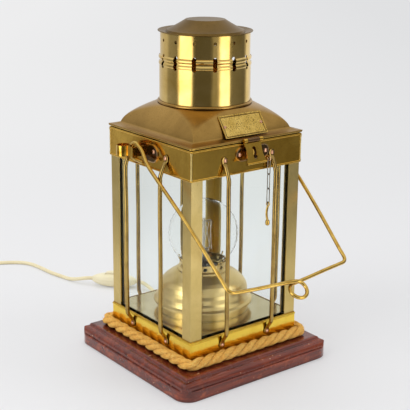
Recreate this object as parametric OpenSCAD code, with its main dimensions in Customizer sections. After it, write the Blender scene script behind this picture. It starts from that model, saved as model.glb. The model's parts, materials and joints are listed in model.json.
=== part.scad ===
// Square brass cargo light on a moulded wooden base, made into a mains lamp.
// Millimetres. The origin is the middle of the base's underside, +Z is up, the front faces -Y.

/* [Case] */
// Side of the glazed case, over its corner posts
case_side = 152; // [140:1:172]
// Sheet brass of the tray and the upper band
sheet_t = 0.8; // [0.6:0.1:1.2]
// Radius of the rolled lips on the sheet
lip_r = 1.3; // [1:0.1:1.6]
// Height of the tray, from the wood to the top of its lip
tray_h = 28.7; // [26:0.1:36]
// Depth of the ledge for the glass, below the top of the tray
ledge_depth = 6.7; // [5:0.1:9]
// Height of the opening between the tray and the upper band
window_h = 181.5; // [170:0.5:220]
// Height of the upper band, over both lips
band_h = 33.7; // [32:0.1:40]
// Width of each side of a corner post
post_w = 15; // [12:0.5:18]
// Thickness of the corner posts
post_t = 1.2; // [1:0.1:1.6]
// Thickness of the glass
glass_t = 3; // [2:0.1:4]
// Distance from the post's outer face to the inner edge of its glass strip
strip_w = 17.5; // [15:0.5:20]
// Thickness of the strips that hold the glass
strip_t = 1; // [0.8:0.1:1.4]
// Height of the floor plate above the bottom of the tray
floor_h = 31; // [27:0.5:34]
// Thickness of the floor plate
floor_t = 1; // [0.8:0.1:1.5]

/* [Wooden base] */
// Flat wood left outside the tray
base_margin = 17.6; // [15:0.1:24]
// Width of the moulding round the base
moulding_w = 13; // [11:0.5:15]
// Height of the base
base_h = 24; // [22:0.5:32]
// Radius of the corners of the base
base_corner_r = 18; // [16:0.5:26]
// Height of the upright edge under the moulding
fascia_h = 12.5; // [11.5:0.1:13.5]
// Width of the top member of the moulding
top_member = 3; // [2:0.1:4]
// Radius of the recess for the leads
recess_r = 30; // [26:1:36]
// Depth of that recess
recess_h = 16; // [14:0.5:18]
// Width of the cover's seat round the recess
cover_seat = 7; // [6.5:0.1:9]
// Thickness of the cover
cover_t = 1.2; // [1:0.1:2]

/* [Rope] */
// Diameter of the rope trim
rope_d = 13; // [11:0.5:13.5]

/* [Guard rods] */
// Diameter of a guard rod
rod_d = 4.8; // [4:0.1:5.4]
// Distance of each rod from the middle of its side
rod_spread = 33; // [30:0.5:34.4]
// Gap between a rod and the upper band
rod_gap = 6; // [5.4:0.1:6.4]
// Diameter of the flattened ends
rod_eye_d = 8; // [7.4:0.1:9]
// Thickness of the flattened ends
rod_eye_t = 1.6; // [1.2:0.1:2]
// Height of the upper eyes above the bottom of the band
rod_eye_up = 17.8; // [16:0.1:19]
// Depth of the lower eyes below the top of the tray
rod_foot_down = 12.2; // [11.6:0.1:12.4]

/* [Rivets] */
// Diameter of a rivet's shank
rivet_d = 2.4; // [2:0.1:3]
// Diameter of a rivet's head
rivet_head_d = 4.8; // [4.2:0.1:5.4]
// Height of a rivet's head
rivet_head_h = 1.3; // [1:0.1:1.6]

/* [Brackets] */
// Thickness of the strap
strap_t = 1.2; // [1:0.1:1.4]
// Height of the strap where the bail hangs on it
strap_h = 11; // [8:0.5:12]
// Distance of the bail's pivot behind the middle of the side
pivot_back = 7.7; // [6:0.1:9]
// Height of the pivot above the bottom of the band
pivot_up = 19.4; // [18.8:0.1:20]
// Height of the rounded leaf on the band
leaf_h = 20; // [16:0.5:21]
// Outer diameter of the pocket
pocket_d = 16; // [15:0.1:16.4]
// Wall of the pocket
pocket_wall = 1.3; // [1:0.1:1.8]
// Height of the pocket
pocket_h = 11.6; // [10:0.1:13]
// Distance from the pivot to the middle of the pocket
pocket_back = 19.5; // [19.3:0.1:21]

/* [Bail] */
// Diameter of the bail's wire
bail_d = 4.2; // [3.6:0.1:4.3]
// Radius of the open eye at each end
bail_eye_r = 9; // [8.6:0.1:9.2]
// Length from the eye to the corner
bail_arm = 196.6; // [190:0.2:210]
// Distance of each eye outside the band
bail_out = 12.2; // [11.6:0.1:12.6]
// Radius of the loop in the middle
bail_loop_r = 9.5; // [8:0.1:11]
// Extra reach of the middle of the crossbar
bail_bow = 7.5; // [5:0.5:10]
// Angle at which the bail rests, below horizontal
bail_rest = 39.4; // [32:0.1:50]

/* [Hood] */
// Overhang of the hood's rim beyond the band
hood_overhang = 1.3; // [1:0.1:1.5]
// Gap between the band and the hood's frame
hood_gap = 1.5; // [1.5:0.1:2]
// Thickness of the hood's sheet
hood_t = 0.9; // [0.8:0.1:1.1]
// Width of the flared lip
hood_lip_w = 10; // [9:0.1:12]
// Height of the flared lip
hood_lip_h = 2.6; // [2.2:0.1:3.2]
// Height of the curved sides above the lip
hood_rise = 26.2; // [24:0.1:32]
// Width of the frame's flat leg under the rim
flange_w = 11.3; // [10:0.1:12]
// Depth of the frame's upright leg
flange_h = 6.4; // [5:0.1:7]
// Thickness of the flat leg
flange_t = 0.8; // [0.6:0.1:1]

/* [Chimney] */
// Outer diameter of the chimney
chimney_d = 101.6; // [96:0.1:104]
// Height of the chimney, from the hood's neck to the cap
chimney_h = 79; // [74:0.5:95]
// Wall of the chimney
chimney_t = 0.8; // [0.6:0.1:1.2]
// Number of slots, and of round holes above them
slot_count = 14; // [10:1:18]
// Width of a slot
slot_w = 4.8; // [4:0.1:6]
// Height of a slot
slot_h = 15.6; // [12:0.1:16]
// Height of the middle of the slots above the foot of the chimney
slot_up = 48.8; // [46:0.1:52]
// Diameter of the round holes
vent_d = 3.6; // [3:0.1:5]
// Depth of the round holes below the top of the chimney
vent_down = 7.8; // [6:0.1:9]
// Rise of the two ridges round the slots
ridge_h = 0.9; // [0.6:0.1:1.4]
// Overhang of the cap's brim beyond the chimney
cap_over = 1.8; // [1.4:0.1:4]
// Height of the cap
cap_h = 13.2; // [11:0.1:18]
// Diameter of the flat top of the cap
cap_top_d = 44; // [36:0.5:52]

/* [Name plate] */
// Width of the name plate
plate_w = 58.5; // [50:0.5:60]
// Height of the name plate
plate_h = 26.2; // [22:0.1:26.4]
// Thickness of the name plate
plate_t = 1; // [0.8:0.1:1.2]
// Offset of its middle from the middle of the front
plate_x = 2.5; // [-4:0.5:4]

/* [Hinges] */
// Outer radius of the knuckles
knuckle_r = 2.2; // [2.1:0.05:2.3]
// Radius of the hinge pins
hinge_pin_r = 1; // [0.8:0.05:1.1]
// Length of each hinge
hinge_w = 26; // [24:0.5:30]
// Thickness of the hinge leaves
hinge_t = 1.2; // [1:0.1:1.3]
// Height of the back hinge leaf on the band
hinge_leaf_h = 20; // [17:0.5:21]

/* [Hasp and staple] */
// Offset of the hasp from the middle of the front
hasp_x = 3; // [2:0.1:4]
// Length of the hasp below its hinge
hasp_len = 25; // [23:0.1:26]
// Width of the hasp at the top
hasp_w = 23.5; // [22:0.1:24.5]
// Width of the hasp at its waist
hasp_waist = 21.5; // [20:0.1:22]
// Width of the hasp at the bottom
hasp_foot = 27.5; // [25:0.1:29]
// Width of the slot in the hasp
hasp_slot_w = 5; // [4:0.1:6]
// Height of the slot in the hasp
hasp_slot_h = 14; // [12.6:0.1:15]
// Distance of the slot's middle below the hinge
hasp_slot_down = 13.9; // [13:0.1:14.4]
// Angle at which the hasp rests, out from the closed position
hasp_ajar = 20; // [16:1:30]
// Wire of the staple
staple_d = 2.4; // [2:0.1:2.6]
// Radius of the staple's bend
staple_r = 3.8; // [3.4:0.1:3.9]
// Length of the staple plate
staple_plate_w = 45.8; // [44:0.1:46]
// Height of the staple plate
staple_plate_h = 15.5; // [14:0.1:16]

/* [Chain and locking pin] */
// Wire of the chain
chain_wire = 1; // [0.8:0.05:1.1]
// Outer width of a link
link_w = 4.5; // [4.3:0.05:4.8]
// Outer length of a link
link_len = 18.6; // [14:0.1:20]
// Number of links
link_count = 3; // [2:1:4]
// Length of the locking pin
lock_pin_len = 27; // [22:0.5:32]

/* [Font and burner] */
// Radius of the font's foot
font_foot_r = 52.5; // [48:0.5:56]
// Height of the font's foot
font_foot_h = 10; // [8:0.5:14]
// Radius of the rim over the foot
font_rim_r = 57; // [55:0.5:60]
// Radius of the wall above the rim
font_wall_r = 51.5; // [46:0.5:54]
// Height at which the dome starts
font_wall_h = 25; // [22:0.5:32]
// Height of the dome
font_dome_h = 22; // [20:0.5:28]
// Radius of the opening's collar on top
font_top_r = 30; // [27:0.5:34]
// Thickness of the font's sheet
font_t = 1.2; // [0.8:0.1:1.4]
// Height of the burner gallery
gallery_h = 13; // [10:0.5:16]
// Number of curled prongs
prong_count = 8; // [6:1:12]

/* [Lamp holder and bulb] */
// Radius of the threaded tube
tube_r = 5; // [4.5:0.1:5.5]
// Outer radius of the lamp holder
holder_r = 19; // [18:0.5:22]
// Height of the lamp holder
holder_h = 38; // [36:0.5:40]
// Radius of the bulb's cap
bulb_cap_r = 13.2; // [12.8:0.1:13.4]
// Radius of the bulb's globe
bulb_r = 40; // [34:0.5:46]
// Wall of the bulb
bulb_t = 0.8; // [0.6:0.1:1.2]

/* [Cord, switch and plug] */
// Diameter of the cord
cord_d = 5; // [4.6:0.1:5]
// Height of the cord's bore in the base
cord_z = 6.5; // [6.2:0.1:8]
// Length of the strain relief behind the base
bush_len = 22; // [20:0.5:40]
// Length of the inline switch
switch_len = 61; // [58:0.5:64]
// Width of the inline switch
switch_w = 24; // [20:0.5:28]
// Height of the inline switch
switch_h = 19; // [16:0.5:20]
// Turns in the coil
coil_turns = 7.35; // [7:0.05:7.6]
// Step between the turns
coil_pitch = 5.42; // [5.41:0.01:5.6]
// Radius of the innermost turn
coil_inner_r = 20; // [20:0.1:21]

/* [Hidden] */

// Colours
BRASS = "#b8963f";
BRIGHT_BRASS = "#d6a62c";
AGED_BRASS = "#86703a";
DARK_BRASS = "#5c4a24";
COPPER = "#c07850";
STEEL = "#6e6a62";
WOOD = "#5a1c12";
ROPE = "#cc9346";
GREY = "#77736a";
GLASS = [0.80, 0.90, 0.88, 0.25];
CREAM = "#e8dcae";

// Clearances
fit = 0.1;
loose = 0.2;
apart = 0.3;

// Faces are numbered from the front, turning to the right, the back and the left
FRONT = 0;
RIGHT = 1;
BACK = 2;
LEFT = 3;

// Case
case_half = case_side / 2;
face = case_half + sheet_t;
tray_top = base_h + tray_h;
band_bottom = tray_top + window_h;
band_top = band_bottom + band_h;
lip_half = face - sheet_t / 2;
ledge_z = tray_top - ledge_depth;
ledge_t = 1;
floor_z = base_h + floor_h;
glass_out = case_half - post_t - loose;
glass_in = glass_out - glass_t;
strip_out = glass_in - 2 * loose;
strip_in = strip_out - strip_t;
web_in = strip_out - 2 * loose;
glass_half_w = web_in - loose;
pan_half = glass_in - 3 * loose;
post_drop = 5.9;
post_top = band_top - post_drop;
glass_top = post_top - 4;

// Wooden base
base_half = face + base_margin + moulding_w;
fascia_edge = 0.8;
quirk = 0.5;
cord_bore_r = cord_d / 2 + fit;
bush_r = 5.5;
bush_stub_r = 4.4;
bush_stub = 8;
cover_r = recess_r + cover_seat;
screw_spot = 45;
screw_r = 1.5;
screw_head_r = 3.4;
screw_head_h = 2;
screw_len = 13;

// Rope
rope_r = rope_d / 2;
rope_half = face + apart + rope_r;
rope_z = base_h + rope_r;
rope_corner_r = (sqrt(2) * (rope_half - face) - rope_r - apart / 2) / (sqrt(2) - 1);

// Guard rods
rod_r = rod_d / 2;
rod_y = face + rod_gap + rod_r;
rod_bend_y = face + rod_r + fit;
rod_top_z = band_bottom - 2.2;
rod_bottom_z = tray_top + 3.3;
rod_eye_z = band_bottom + rod_eye_up;
rod_foot_z = tray_top - rod_foot_down;
rod_bend_up = 6;

// Brackets and bail
pivot_z = band_bottom + pivot_up;
bail_half_w = face + bail_out;
leaf_front = 18;
leaf_back = 12;
leaf_z = rod_eye_z;
rivet_inset = 7;
bracket_rivet_up = 2.8;
strap_clear = 0.9;
strap_reach = bail_half_w + bail_d / 2 + strap_clear + strap_t;
strap_z = pivot_z - 0.8;
pocket_r = pocket_d / 2;
pocket_x = strap_reach - strap_t - 0.5;
pocket_y = pivot_back + pocket_back;
pocket_z = pivot_z - 1.8;
bail_r = bail_d / 2;
bail_tail = 17.5;
bail_tail_up = 1.5;
bail_turn = acos(bail_eye_r / norm([bail_tail, bail_tail_up])) - atan2(bail_tail_up, bail_tail) - 180;
bail_corner_half = bail_half_w - 5.5;
bail_set = rod_y + rod_r + bail_r + apart - bail_half_w;
bail_taper = 75;
bail_cross = bail_r + 0.4;

// Hood
flange_top = band_top + hood_gap + flange_t;
hood_z = flange_top;
hood_half = face + hood_overhang;
hood_edge = 1;
shoulder_half = hood_half - hood_lip_w;
shoulder_z = hood_z + hood_edge + hood_lip_h;
neck_z = shoulder_z + hood_rise;
chimney_r = chimney_d / 2;
neck_open = chimney_r + 0.6;
neck_half = neck_open + 1.5;
flange_out = hood_half - 0.8;
flange_leg_out = case_half - 1.6;
flange_leg_t = 1;

// Chimney and cap
cap_d = chimney_d + 2 * cap_over;
chimney_z = neck_z - 1;
chimney_top = chimney_z + chimney_h;
slot_z = chimney_z + slot_up;
vent_z = chimney_top - vent_down;
ridge_low = 3.8;
ridge_high = 2.9;
cap_z = chimney_top;
cap_t = 1;
cap_lip_w = 10;
cap_dish = 2;
bead_r = 1.6;

// Name plate: it stands on the lip and leans on the hood's side, in line with the neck's edge
plate_foot_y = shoulder_half + 3.5;
plate_foot_z = hood_z + 3;
plate_lean = atan2(plate_foot_y - neck_half, neck_z - plate_foot_z);
plate_rim = 0.8;
plate_sunk = 0.25;

// Hinges: both axes run along X, this far from the middle and this high
hinge_y = face + 3.8;
hinge_z = hood_z + 0.2;
tongue_w = 16;
hinge_leaf_y = hood_half + apart;

// Staple plate and chain
staple_plate_x = hasp_x + 2.5;
staple_z = hinge_z - hasp_slot_down;
staple_plate_z = staple_z - 1;
staple_rivet_inset = 4.6;
eyelet_r = 2.2;
eyelet_wire = 0.9;
eyelet_x = 27.3;
eyelet_y = face + hinge_t + eyelet_r;
eyelet_z = staple_plate_z - staple_plate_h / 2 - 1.4;
chain_top_z = eyelet_z - eyelet_r + eyelet_wire + chain_wire / 2 + fit / 2;
link_mid_len = link_len - chain_wire;
link_step = link_mid_len - chain_wire - fit;
chain_end_z = chain_top_z - link_step * (link_count - 1) - link_mid_len;
lock_eye_r = 2;
lock_wire = 0.8;
lock_end_r = 2.5;
lock_end_len = 7;
lock_shank_r = 1.3;
lock_bow = 1.6;
lock_eye_z = chain_end_z + chain_wire / 2 + lock_wire + fit - lock_eye_r;

// Lamp inside
tube_z0 = recess_h - 6;
nut_h = 4;
nut_w = 17;
font_z = floor_z;
font_top_z = font_z + font_wall_h + font_dome_h;
holder_z = font_z + 7;
tube_z1 = holder_z + 4;
cap_base_z = holder_z + 9;
bulb_cap_h = 27;
bulb_neck_z = cap_base_z + bulb_cap_h;
bulb_neck_r = bulb_cap_r - 0.7;
bulb_z = bulb_neck_z + 8 + bulb_r;
gallery_r = font_top_r - 3;

// Switch: the near end is where the cord from the lamp enters
bush_end_y = base_half + bush_len;
cord_r = cord_d / 2;
switch_turn = 132.5;
switch_dir = [cos(switch_turn), sin(switch_turn), 0];
switch_near = [48.1, 212.5, switch_h / 2];
switch_far = switch_near + switch_len * switch_dir;
rocker_x = 5;
rocker_len = 15;
rocker_w = 8;
rocker_up = 6.5;
rocker_tip = 7;

// Cord between the lamp and the switch: a turn to the right, one to the left and a last one that
// meets the switch. It drops to the floor, and climbs again to the switch.
lead_r = 24;
lead_turn_r = 25;
lead_start = bush_end_y + 6.6;
lead_drop = 36;
lead_climb = 42;
cord_straight = 1.5;

// Points of the cord on the floor between the switch and the coil
RUN = [[-5.5, 273], [-11.5, 290], [-16, 309], [-20, 331], [-22, 356], [-26, 378], [-37, 394],
       [-59, 408], [-84, 420]];

// Coil of the rest of the cord: it starts along the heading of the run and turns to the left
coil_from = [-106, 436, cord_r];
coil_heading = atan2(16, -22);
coil_half = coil_turns / 2;
coil_outer_r = coil_inner_r + coil_half * coil_pitch;
coil_layer = cord_d + 0.5;
coil_steps = 24;
coil_tail = 20;
coil_centre = [
  coil_from[0] + cord_d * cos(coil_heading) - coil_outer_r * sin(coil_heading),
  coil_from[1] + cord_d * sin(coil_heading) + coil_outer_r * cos(coil_heading)
];
coil_exit_heading = coil_heading + 360 * coil_turns;

// Plug
plug_body = 36;
plug_half_w = 13;
plug_half_h = 8;
plug_pin_r = 2;
plug_pin_len = 19;
plug_pin_gap = 19;

function unit(v) = v / norm(v);

function arc(c, rx, ry, a0, a1, n) =
  [for (i = [0:n]) let (a = a0 + (a1 - a0) * i / n) [c[0] + rx * cos(a), c[1] + ry * sin(a)]];

function ease(t) = let (s = min(1, max(0, t))) s * s * (3 - 2 * s);

// A point between p1 and p2 on the smooth curve through four points
function between(p0, p1, p2, p3, t) =
  0.5 * (2 * p1 + (p2 - p0) * t + (2 * p0 - 5 * p1 + 4 * p2 - p3) * t * t
         + (3 * p1 - p0 - 3 * p2 + p3) * t * t * t);

// Smooth curve through all points, with steps parts between each two
function smooth(p, steps) = [
  for (i = [0:len(p) - 2], k = [0:steps - 1])
    between(p[max(i - 1, 0)], p[i], p[i + 1], p[min(i + 2, len(p) - 1)], k / steps),
  p[len(p) - 1]
];

// A rounded bend at b on the way from a to c
function bend(a, b, c, cut, n) = [
  for (k = [0:n])
    let (t = k / n, p = b + cut * unit(a - b), q = b + cut * unit(c - b))
      (1 - t) * (1 - t) * p + 2 * t * (1 - t) * b + t * t * q
];

function length_of(p) = len(p) < 2 ? 0 : sum([for (i = [1:len(p) - 1]) norm(p[i] - p[i - 1])]);

function sum(v) = v * [for (i = v) 1];

function headings(p) =
  [for (i = [0:len(p) - 1]) unit(p[min(i + 1, len(p) - 1)] - p[max(i - 1, 0)])];

function square_to(u, t) = unit(u - (u * t) * t);

// A direction square to the path, carried along it without twisting
function carried(t, first) = [
  for (i = 0, u = square_to(first, t[0]); i < len(t);
       i = i + 1, u = i < len(t) ? square_to(u, t[i]) : u) u
];

// Closed solid through sections that all have the same number of points
module loft(sections) {
  n = len(sections[0]);
  last = len(sections) - 1;
  points = [for (s = sections) each s];
  sides = [
    for (k = [0:last - 1], i = [0:n - 1])
      let (a = k * n + i, b = k * n + (i + 1) % n)
        each [[a, b, b + n], [a, b + n, a + n]]
  ];
  first_end = [for (i = [1:n - 2]) [0, i + 1, i]];
  last_end = [for (i = [1:n - 2]) [last * n, last * n + i, last * n + i + 1]];
  polyhedron(points, concat(sides, first_end, last_end));
}

// Round tube along a path
module tube(path, r, sides, first = [0, 0, 1]) {
  t = headings(path);
  u = carried(t, first);
  loft([
    for (i = [0:len(path) - 1])
      let (v = cross(t[i], u[i]))
        [for (k = [0:sides - 1]) let (a = -360 * (k + 0.5) / sides)
          path[i] + r * (cos(a) * u[i] + sin(a) * v)]
  ]);
}

// Round bar from a to b
module bar(a, b, r) {
  d = b - a;
  translate(a)
    rotate([0, acos(d[2] / norm(d)), atan2(d[1], d[0])])
      cylinder(r = r, h = norm(d), $fn = 32);
}

module slab(half, z0, z1) {
  translate([-half, -half, z0])
    cube([2 * half, 2 * half, z1 - z0]);
}

module square_ring(outer, inner, z0, z1) {
  difference() {
    slab(outer, z0, z1);
    slab(inner, z0 - 1, z1 + 1);
  }
}

// Rolled lip round the case at one height, flush with the inside of the sheet
module lip(z) {
  difference() {
    for (i = [0:3])
      rotate(90 * i) {
        translate([-lip_half, -lip_half, z])
          rotate([0, 90, 0])
            cylinder(r = lip_r, h = 2 * lip_half, $fn = 24);
        translate([lip_half, -lip_half, z])
          sphere(r = lip_r, $fn = 24);
      }
    slab(case_half, z - 2 * lip_r, z + 2 * lip_r);
  }
}

// Places children on one face: X runs along it, -Y points out of it
module on_face(side) {
  rotate(90 * side)
    children();
}

module stadium(w, h, t) {
  for (s = [-1, 1])
    translate([s * (w - h) / 2, 0, 0])
      rotate([90, 0, 0])
        cylinder(d = h, h = t, $fn = 48);
  translate([-(w - h) / 2, -t, -h / 2])
    cube([w - h, t, h]);
}

// Each rivet of the case: the face, the place along it, the height and what it holds
RIVETS = concat(
  [for (side = [FRONT:LEFT], s = [-1, 1]) [side, s * rod_spread, rod_eye_z, rod_eye_t]],
  [for (side = [FRONT:LEFT], s = [-1, 1]) [side, s * rod_spread, rod_foot_z, rod_eye_t]],
  [for (s = [-1, 1])
    [FRONT, staple_plate_x + s * (staple_plate_w / 2 - staple_rivet_inset), staple_plate_z, hinge_t]],
  [for (s = [-1, 1])
    [s < 0 ? LEFT : RIGHT, -s * (leaf_front - rivet_inset), leaf_z + bracket_rivet_up, strap_t]]
);

module rivet(grip) {
  rotate([90, 0, 0]) {
    translate([0, 0, grip])
      rotate_extrude($fn = 32)
        polygon(concat([[0, 0]], arc([0, 0], rivet_head_d / 2, rivet_head_h, 0, 90, 6)));
    translate([0, 0, -sheet_t])
      cylinder(d = rivet_d, h = grip + sheet_t + 0.2, $fn = 24);
  }
}

module rivet_holes(d, z0, z1) {
  for (r = RIVETS)
    if (r[2] > z0 && r[2] < z1)
      on_face(r[0])
        translate([r[1], 0, r[2]])
          rotate([90, 0, 0])
            cylinder(d = d, h = face + 20, $fn = 24);
}

module copper_rivets() {
  color(COPPER)
    for (r = RIVETS)
      on_face(r[0])
        translate([r[1], -face, r[2]])
          rivet(r[3]);
}

// Half outline of the base's upright edge, from the centre of a corner's rounding
function fascia() =
  let (r = base_corner_r)
  [[0, 0], [r - fascia_edge, 0], [r, fascia_edge], [r, fascia_h - fascia_edge],
   [r - fascia_edge, fascia_h], [0, fascia_h]];

// Half outline of the moulding on top of it, from the middle of the base
function moulding() =
  let (
    inner = base_half - moulding_w,
    ovolo_in = inner + top_member + quirk,
    ovolo_out = base_half - 2.5,
    ovolo_z = fascia_h + quirk,
    ovolo_h = base_h - top_member - quirk - ovolo_z
  )
  concat(
    [[ovolo_out, fascia_h - fascia_edge]],
    arc([ovolo_in, ovolo_z], ovolo_out - ovolo_in, ovolo_h, 0, 90, 8),
    arc([inner, base_h - top_member], top_member, top_member, 0, 90, 5)
  );

module rounded_slab(half, r, z0, z1) {
  core = half - r;
  for (x = [-core, core], y = [-core, core])
    translate([x, y, z0])
      cylinder(r = r, h = z1 - z0, $fn = 64);
  translate([-half, -core, z0])
    cube([2 * half, 2 * core, z1 - z0]);
  translate([-core, -half, z0])
    cube([2 * core, 2 * half, z1 - z0]);
}

// The moulding along one pair of sides; two of these cross in mitred corners
module moulded_bar() {
  line = moulding();
  rotate([90, 0, 0])
    translate([0, 0, -base_half])
      linear_extrude(2 * base_half)
        polygon(concat(line, [for (i = [len(line) - 1:-1:0]) [-line[i][0], line[i][1]]]));
}

module wooden_base() {
  core = base_half - base_corner_r;
  color(WOOD)
    difference() {
      union() {
        for (i = [0:3])
          rotate(90 * i)
            translate([core, core, 0]) {
              rotate_extrude($fn = 64)
                polygon(fascia());
              rotate([90, 0, 0])
                linear_extrude(2 * core)
                  polygon(fascia());
            }
        slab(core, 0, fascia_h);
        intersection() {
          moulded_bar();
          rotate(90)
            moulded_bar();
          rounded_slab(base_half, base_corner_r, fascia_h - fascia_edge, base_h + 1);
        }
      }
      translate([0, 0, -1])
        cylinder(r = recess_r, h = recess_h + 1, $fn = 96);
      translate([0, 0, -1])
        cylinder(r = cover_r + loose, h = cover_t + 1, $fn = 96);
      translate([0, 0, -1])
        cylinder(r = tube_r + fit, h = base_h + 2, $fn = 48);
      translate([0, 0, cord_z])
        rotate([-90, 0, 0])
          cylinder(r = cord_bore_r, h = base_half + 1, $fn = 48);
      translate([0, base_half - bush_stub - fit, cord_z])
        rotate([-90, 0, 0])
          cylinder(r = bush_stub_r + fit / 2, h = bush_stub + 1, $fn = 48);
      at_screws()
        translate([0, 0, base_h - screw_len])
          cylinder(r = screw_r, h = screw_len + 1, $fn = 24);
      at_cover_screws()
        cylinder(r = screw_r - 0.2, h = 10, $fn = 24);
    }
}

module at_screws() {
  for (x = [-1, 1], y = [-1, 1])
    translate([x * screw_spot, y * screw_spot, 0])
      children();
}

module at_cover_screws() {
  for (i = [0:2])
    rotate(30 + 120 * i)
      translate([recess_r + cover_seat / 2, 0, 0])
        children();
}

module base_cover() {
  color(DARK_BRASS)
    difference() {
      cylinder(r = cover_r, h = cover_t, $fn = 96);
      at_cover_screws()
        translate([0, 0, -1])
          cylinder(r = screw_r, h = cover_t + 2, $fn = 24);
    }
}

module wood_screws() {
  color(STEEL) {
    at_screws() {
      translate([0, 0, base_h + sheet_t])
        cylinder(r = screw_head_r, h = screw_head_h, $fn = 32);
      translate([0, 0, base_h - screw_len + fit])
        cylinder(r = screw_r - fit / 2, h = screw_len + sheet_t, $fn = 24);
    }
    at_cover_screws()
      translate([0, 0, loose])
        cylinder(r = screw_r - 0.25, h = 9, $fn = 24);
  }
}

module rope_trim() {
  core = rope_half - rope_corner_r;
  sections = [
    for (q = [0:3], i = [0:6])
      let (a = 90 * q + 15 * i, c = core * [[1, 1], [-1, 1], [-1, -1], [1, -1]][q])
        [for (k = [0:15])
          let (b = -22.5 * (k + 0.5), r = rope_corner_r + rope_r * cos(b))
            [c[0] + r * cos(a), c[1] + r * sin(a), rope_z + rope_r * sin(b)]]
  ];
  color(ROPE)
    closed_loft(sections);
}

module tray() {
  color(BRIGHT_BRASS)
    difference() {
      union() {
        square_ring(face, case_half, base_h, tray_top - lip_r);
        slab(face - sheet_t / 2, base_h, base_h + sheet_t);
        square_ring(case_half + sheet_t / 2, pan_half + fit, ledge_z - ledge_t, ledge_z);
        lip(tray_top - lip_r);
      }
      rivet_holes(rivet_d + fit, 0, tray_top);
      translate([0, 0, base_h - 1])
        cylinder(r = tube_r + fit, h = sheet_t + 2, $fn = 48);
      at_screws()
        translate([0, 0, base_h - 1])
          cylinder(r = screw_r + fit, h = sheet_t + 2, $fn = 24);
    }
}

module floor_plate() {
  color(GREY)
    difference() {
      slab(pan_half, base_h + sheet_t, floor_z);
      slab(pan_half - floor_t, base_h, floor_z - floor_t);
      translate([0, 0, floor_z - floor_t - 1])
        cylinder(r = tube_r + fit, h = floor_t + 2, $fn = 48);
    }
}

// The +X +Y corner's post: an angle outside the glass and a strip inside it
module post(x_side, y_side) {
  color(BRASS)
    mirror([x_side < 0 ? 1 : 0, 0, 0])
      mirror([0, y_side < 0 ? 1 : 0, 0]) {
        difference() {
          corner_block(case_half, post_w, ledge_z, post_top);
          corner_block(case_half - post_t, post_w, ledge_z - 1, post_top + 1);
        }
        difference() {
          union() {
            corner_block(strip_out, strip_w - (case_half - strip_out), floor_z, glass_top);
            corner_block(case_half - post_t, case_half - post_t - web_in, floor_z, glass_top);
          }
          corner_block(strip_in, strip_w, floor_z - 1, glass_top + 1);
        }
      }
}

module corner_block(outer, w, z0, z1) {
  translate([outer - w, outer - w, z0])
    cube([w, w, z1 - z0]);
}

module front_left_post() { post(-1, -1); }

module front_right_post() { post(1, -1); }

module back_left_post() { post(-1, 1); }

module back_right_post() { post(1, 1); }

module pane(side) {
  color(GLASS)
    on_face(side)
      translate([-glass_half_w, -glass_out, ledge_z])
        cube([2 * glass_half_w, glass_t, glass_top - ledge_z]);
}

module front_glass() { pane(FRONT); }

module back_glass() { pane(BACK); }

module left_glass() { pane(LEFT); }

module right_glass() { pane(RIGHT); }

module upper_band() {
  color(BRASS)
    difference() {
      union() {
        square_ring(face, case_half, band_bottom + lip_r, band_top - lip_r);
        lip(band_bottom + lip_r);
        lip(band_top - lip_r);
      }
      rivet_holes(rivet_d + fit, band_bottom, band_top);
    }
}

// Section of a rod: height, distance from the middle of the case, half width, half thickness
// and how square it is
function rod_section(z, y, w, t, corner) = [
  for (k = [0:9])
    let (a = -36 * (k + 0.5), c = cos(a), d = sin(a))
      [w * sign(c) * pow(abs(c), corner), -y + t * sign(d) * pow(abs(d), corner), z]
];

// The flattened eye of a rod, from its rounded tip towards the round part
function rod_eye_sections(z, up) =
  let (
    r = rod_eye_d / 2,
    y = face + rod_eye_t / 2
  )
  concat(
    [for (a = [20, 45, 70, 90]) rod_section(z - up * r * cos(a), y, r * sin(a), rod_eye_t / 2, 0.6)],
    [rod_section(z + up * (rivet_head_d / 2 + fit), y, r - 0.5, rod_eye_t / 2, 0.6)],
    [rod_section(z + up * rod_bend_up * 0.8, y + 0.9, rod_r + 0.3, rod_eye_t / 2 + 0.6, 0.8)]
  );

// One guard rod in the frame of its face, with both ends bent in and flattened
module guard_rod(side, s) {
  round_part = [
    for (p = [
      [rod_foot_z + rod_bend_up, rod_bend_y], [rod_bottom_z - 2.5, rod_y - 1], [rod_bottom_z + 1, rod_y],
      [rod_top_z - 1, rod_y], [rod_top_z + 2.5, rod_y - 0.9], [rod_eye_z - rod_bend_up, rod_bend_y]
    ])
      rod_section(p[0], p[1], rod_r, rod_r, 1)
  ];
  upper = rod_eye_sections(rod_eye_z, -1);
  n = len(upper) - 1;
  color(BRASS)
    on_face(side)
      translate([s * rod_spread, 0, 0])
        difference() {
          loft(concat(rod_eye_sections(rod_foot_z, 1), round_part, [for (i = [0:n]) upper[n - i]]));
          for (z = [rod_eye_z, rod_foot_z])
            translate([0, 0, z])
              rotate([90, 0, 0])
                cylinder(d = rivet_d + fit, h = face + 20, $fn = 24);
        }
}

module front_rod_left() { guard_rod(FRONT, -1); }

module front_rod_right() { guard_rod(FRONT, 1); }

module back_rod_left() { guard_rod(BACK, 1); }

module back_rod_right() { guard_rod(BACK, -1); }

module left_rod_front() { guard_rod(LEFT, 1); }

module left_rod_back() { guard_rod(LEFT, -1); }

module right_rod_front() { guard_rod(RIGHT, -1); }

module right_rod_back() { guard_rod(RIGHT, 1); }

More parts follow.
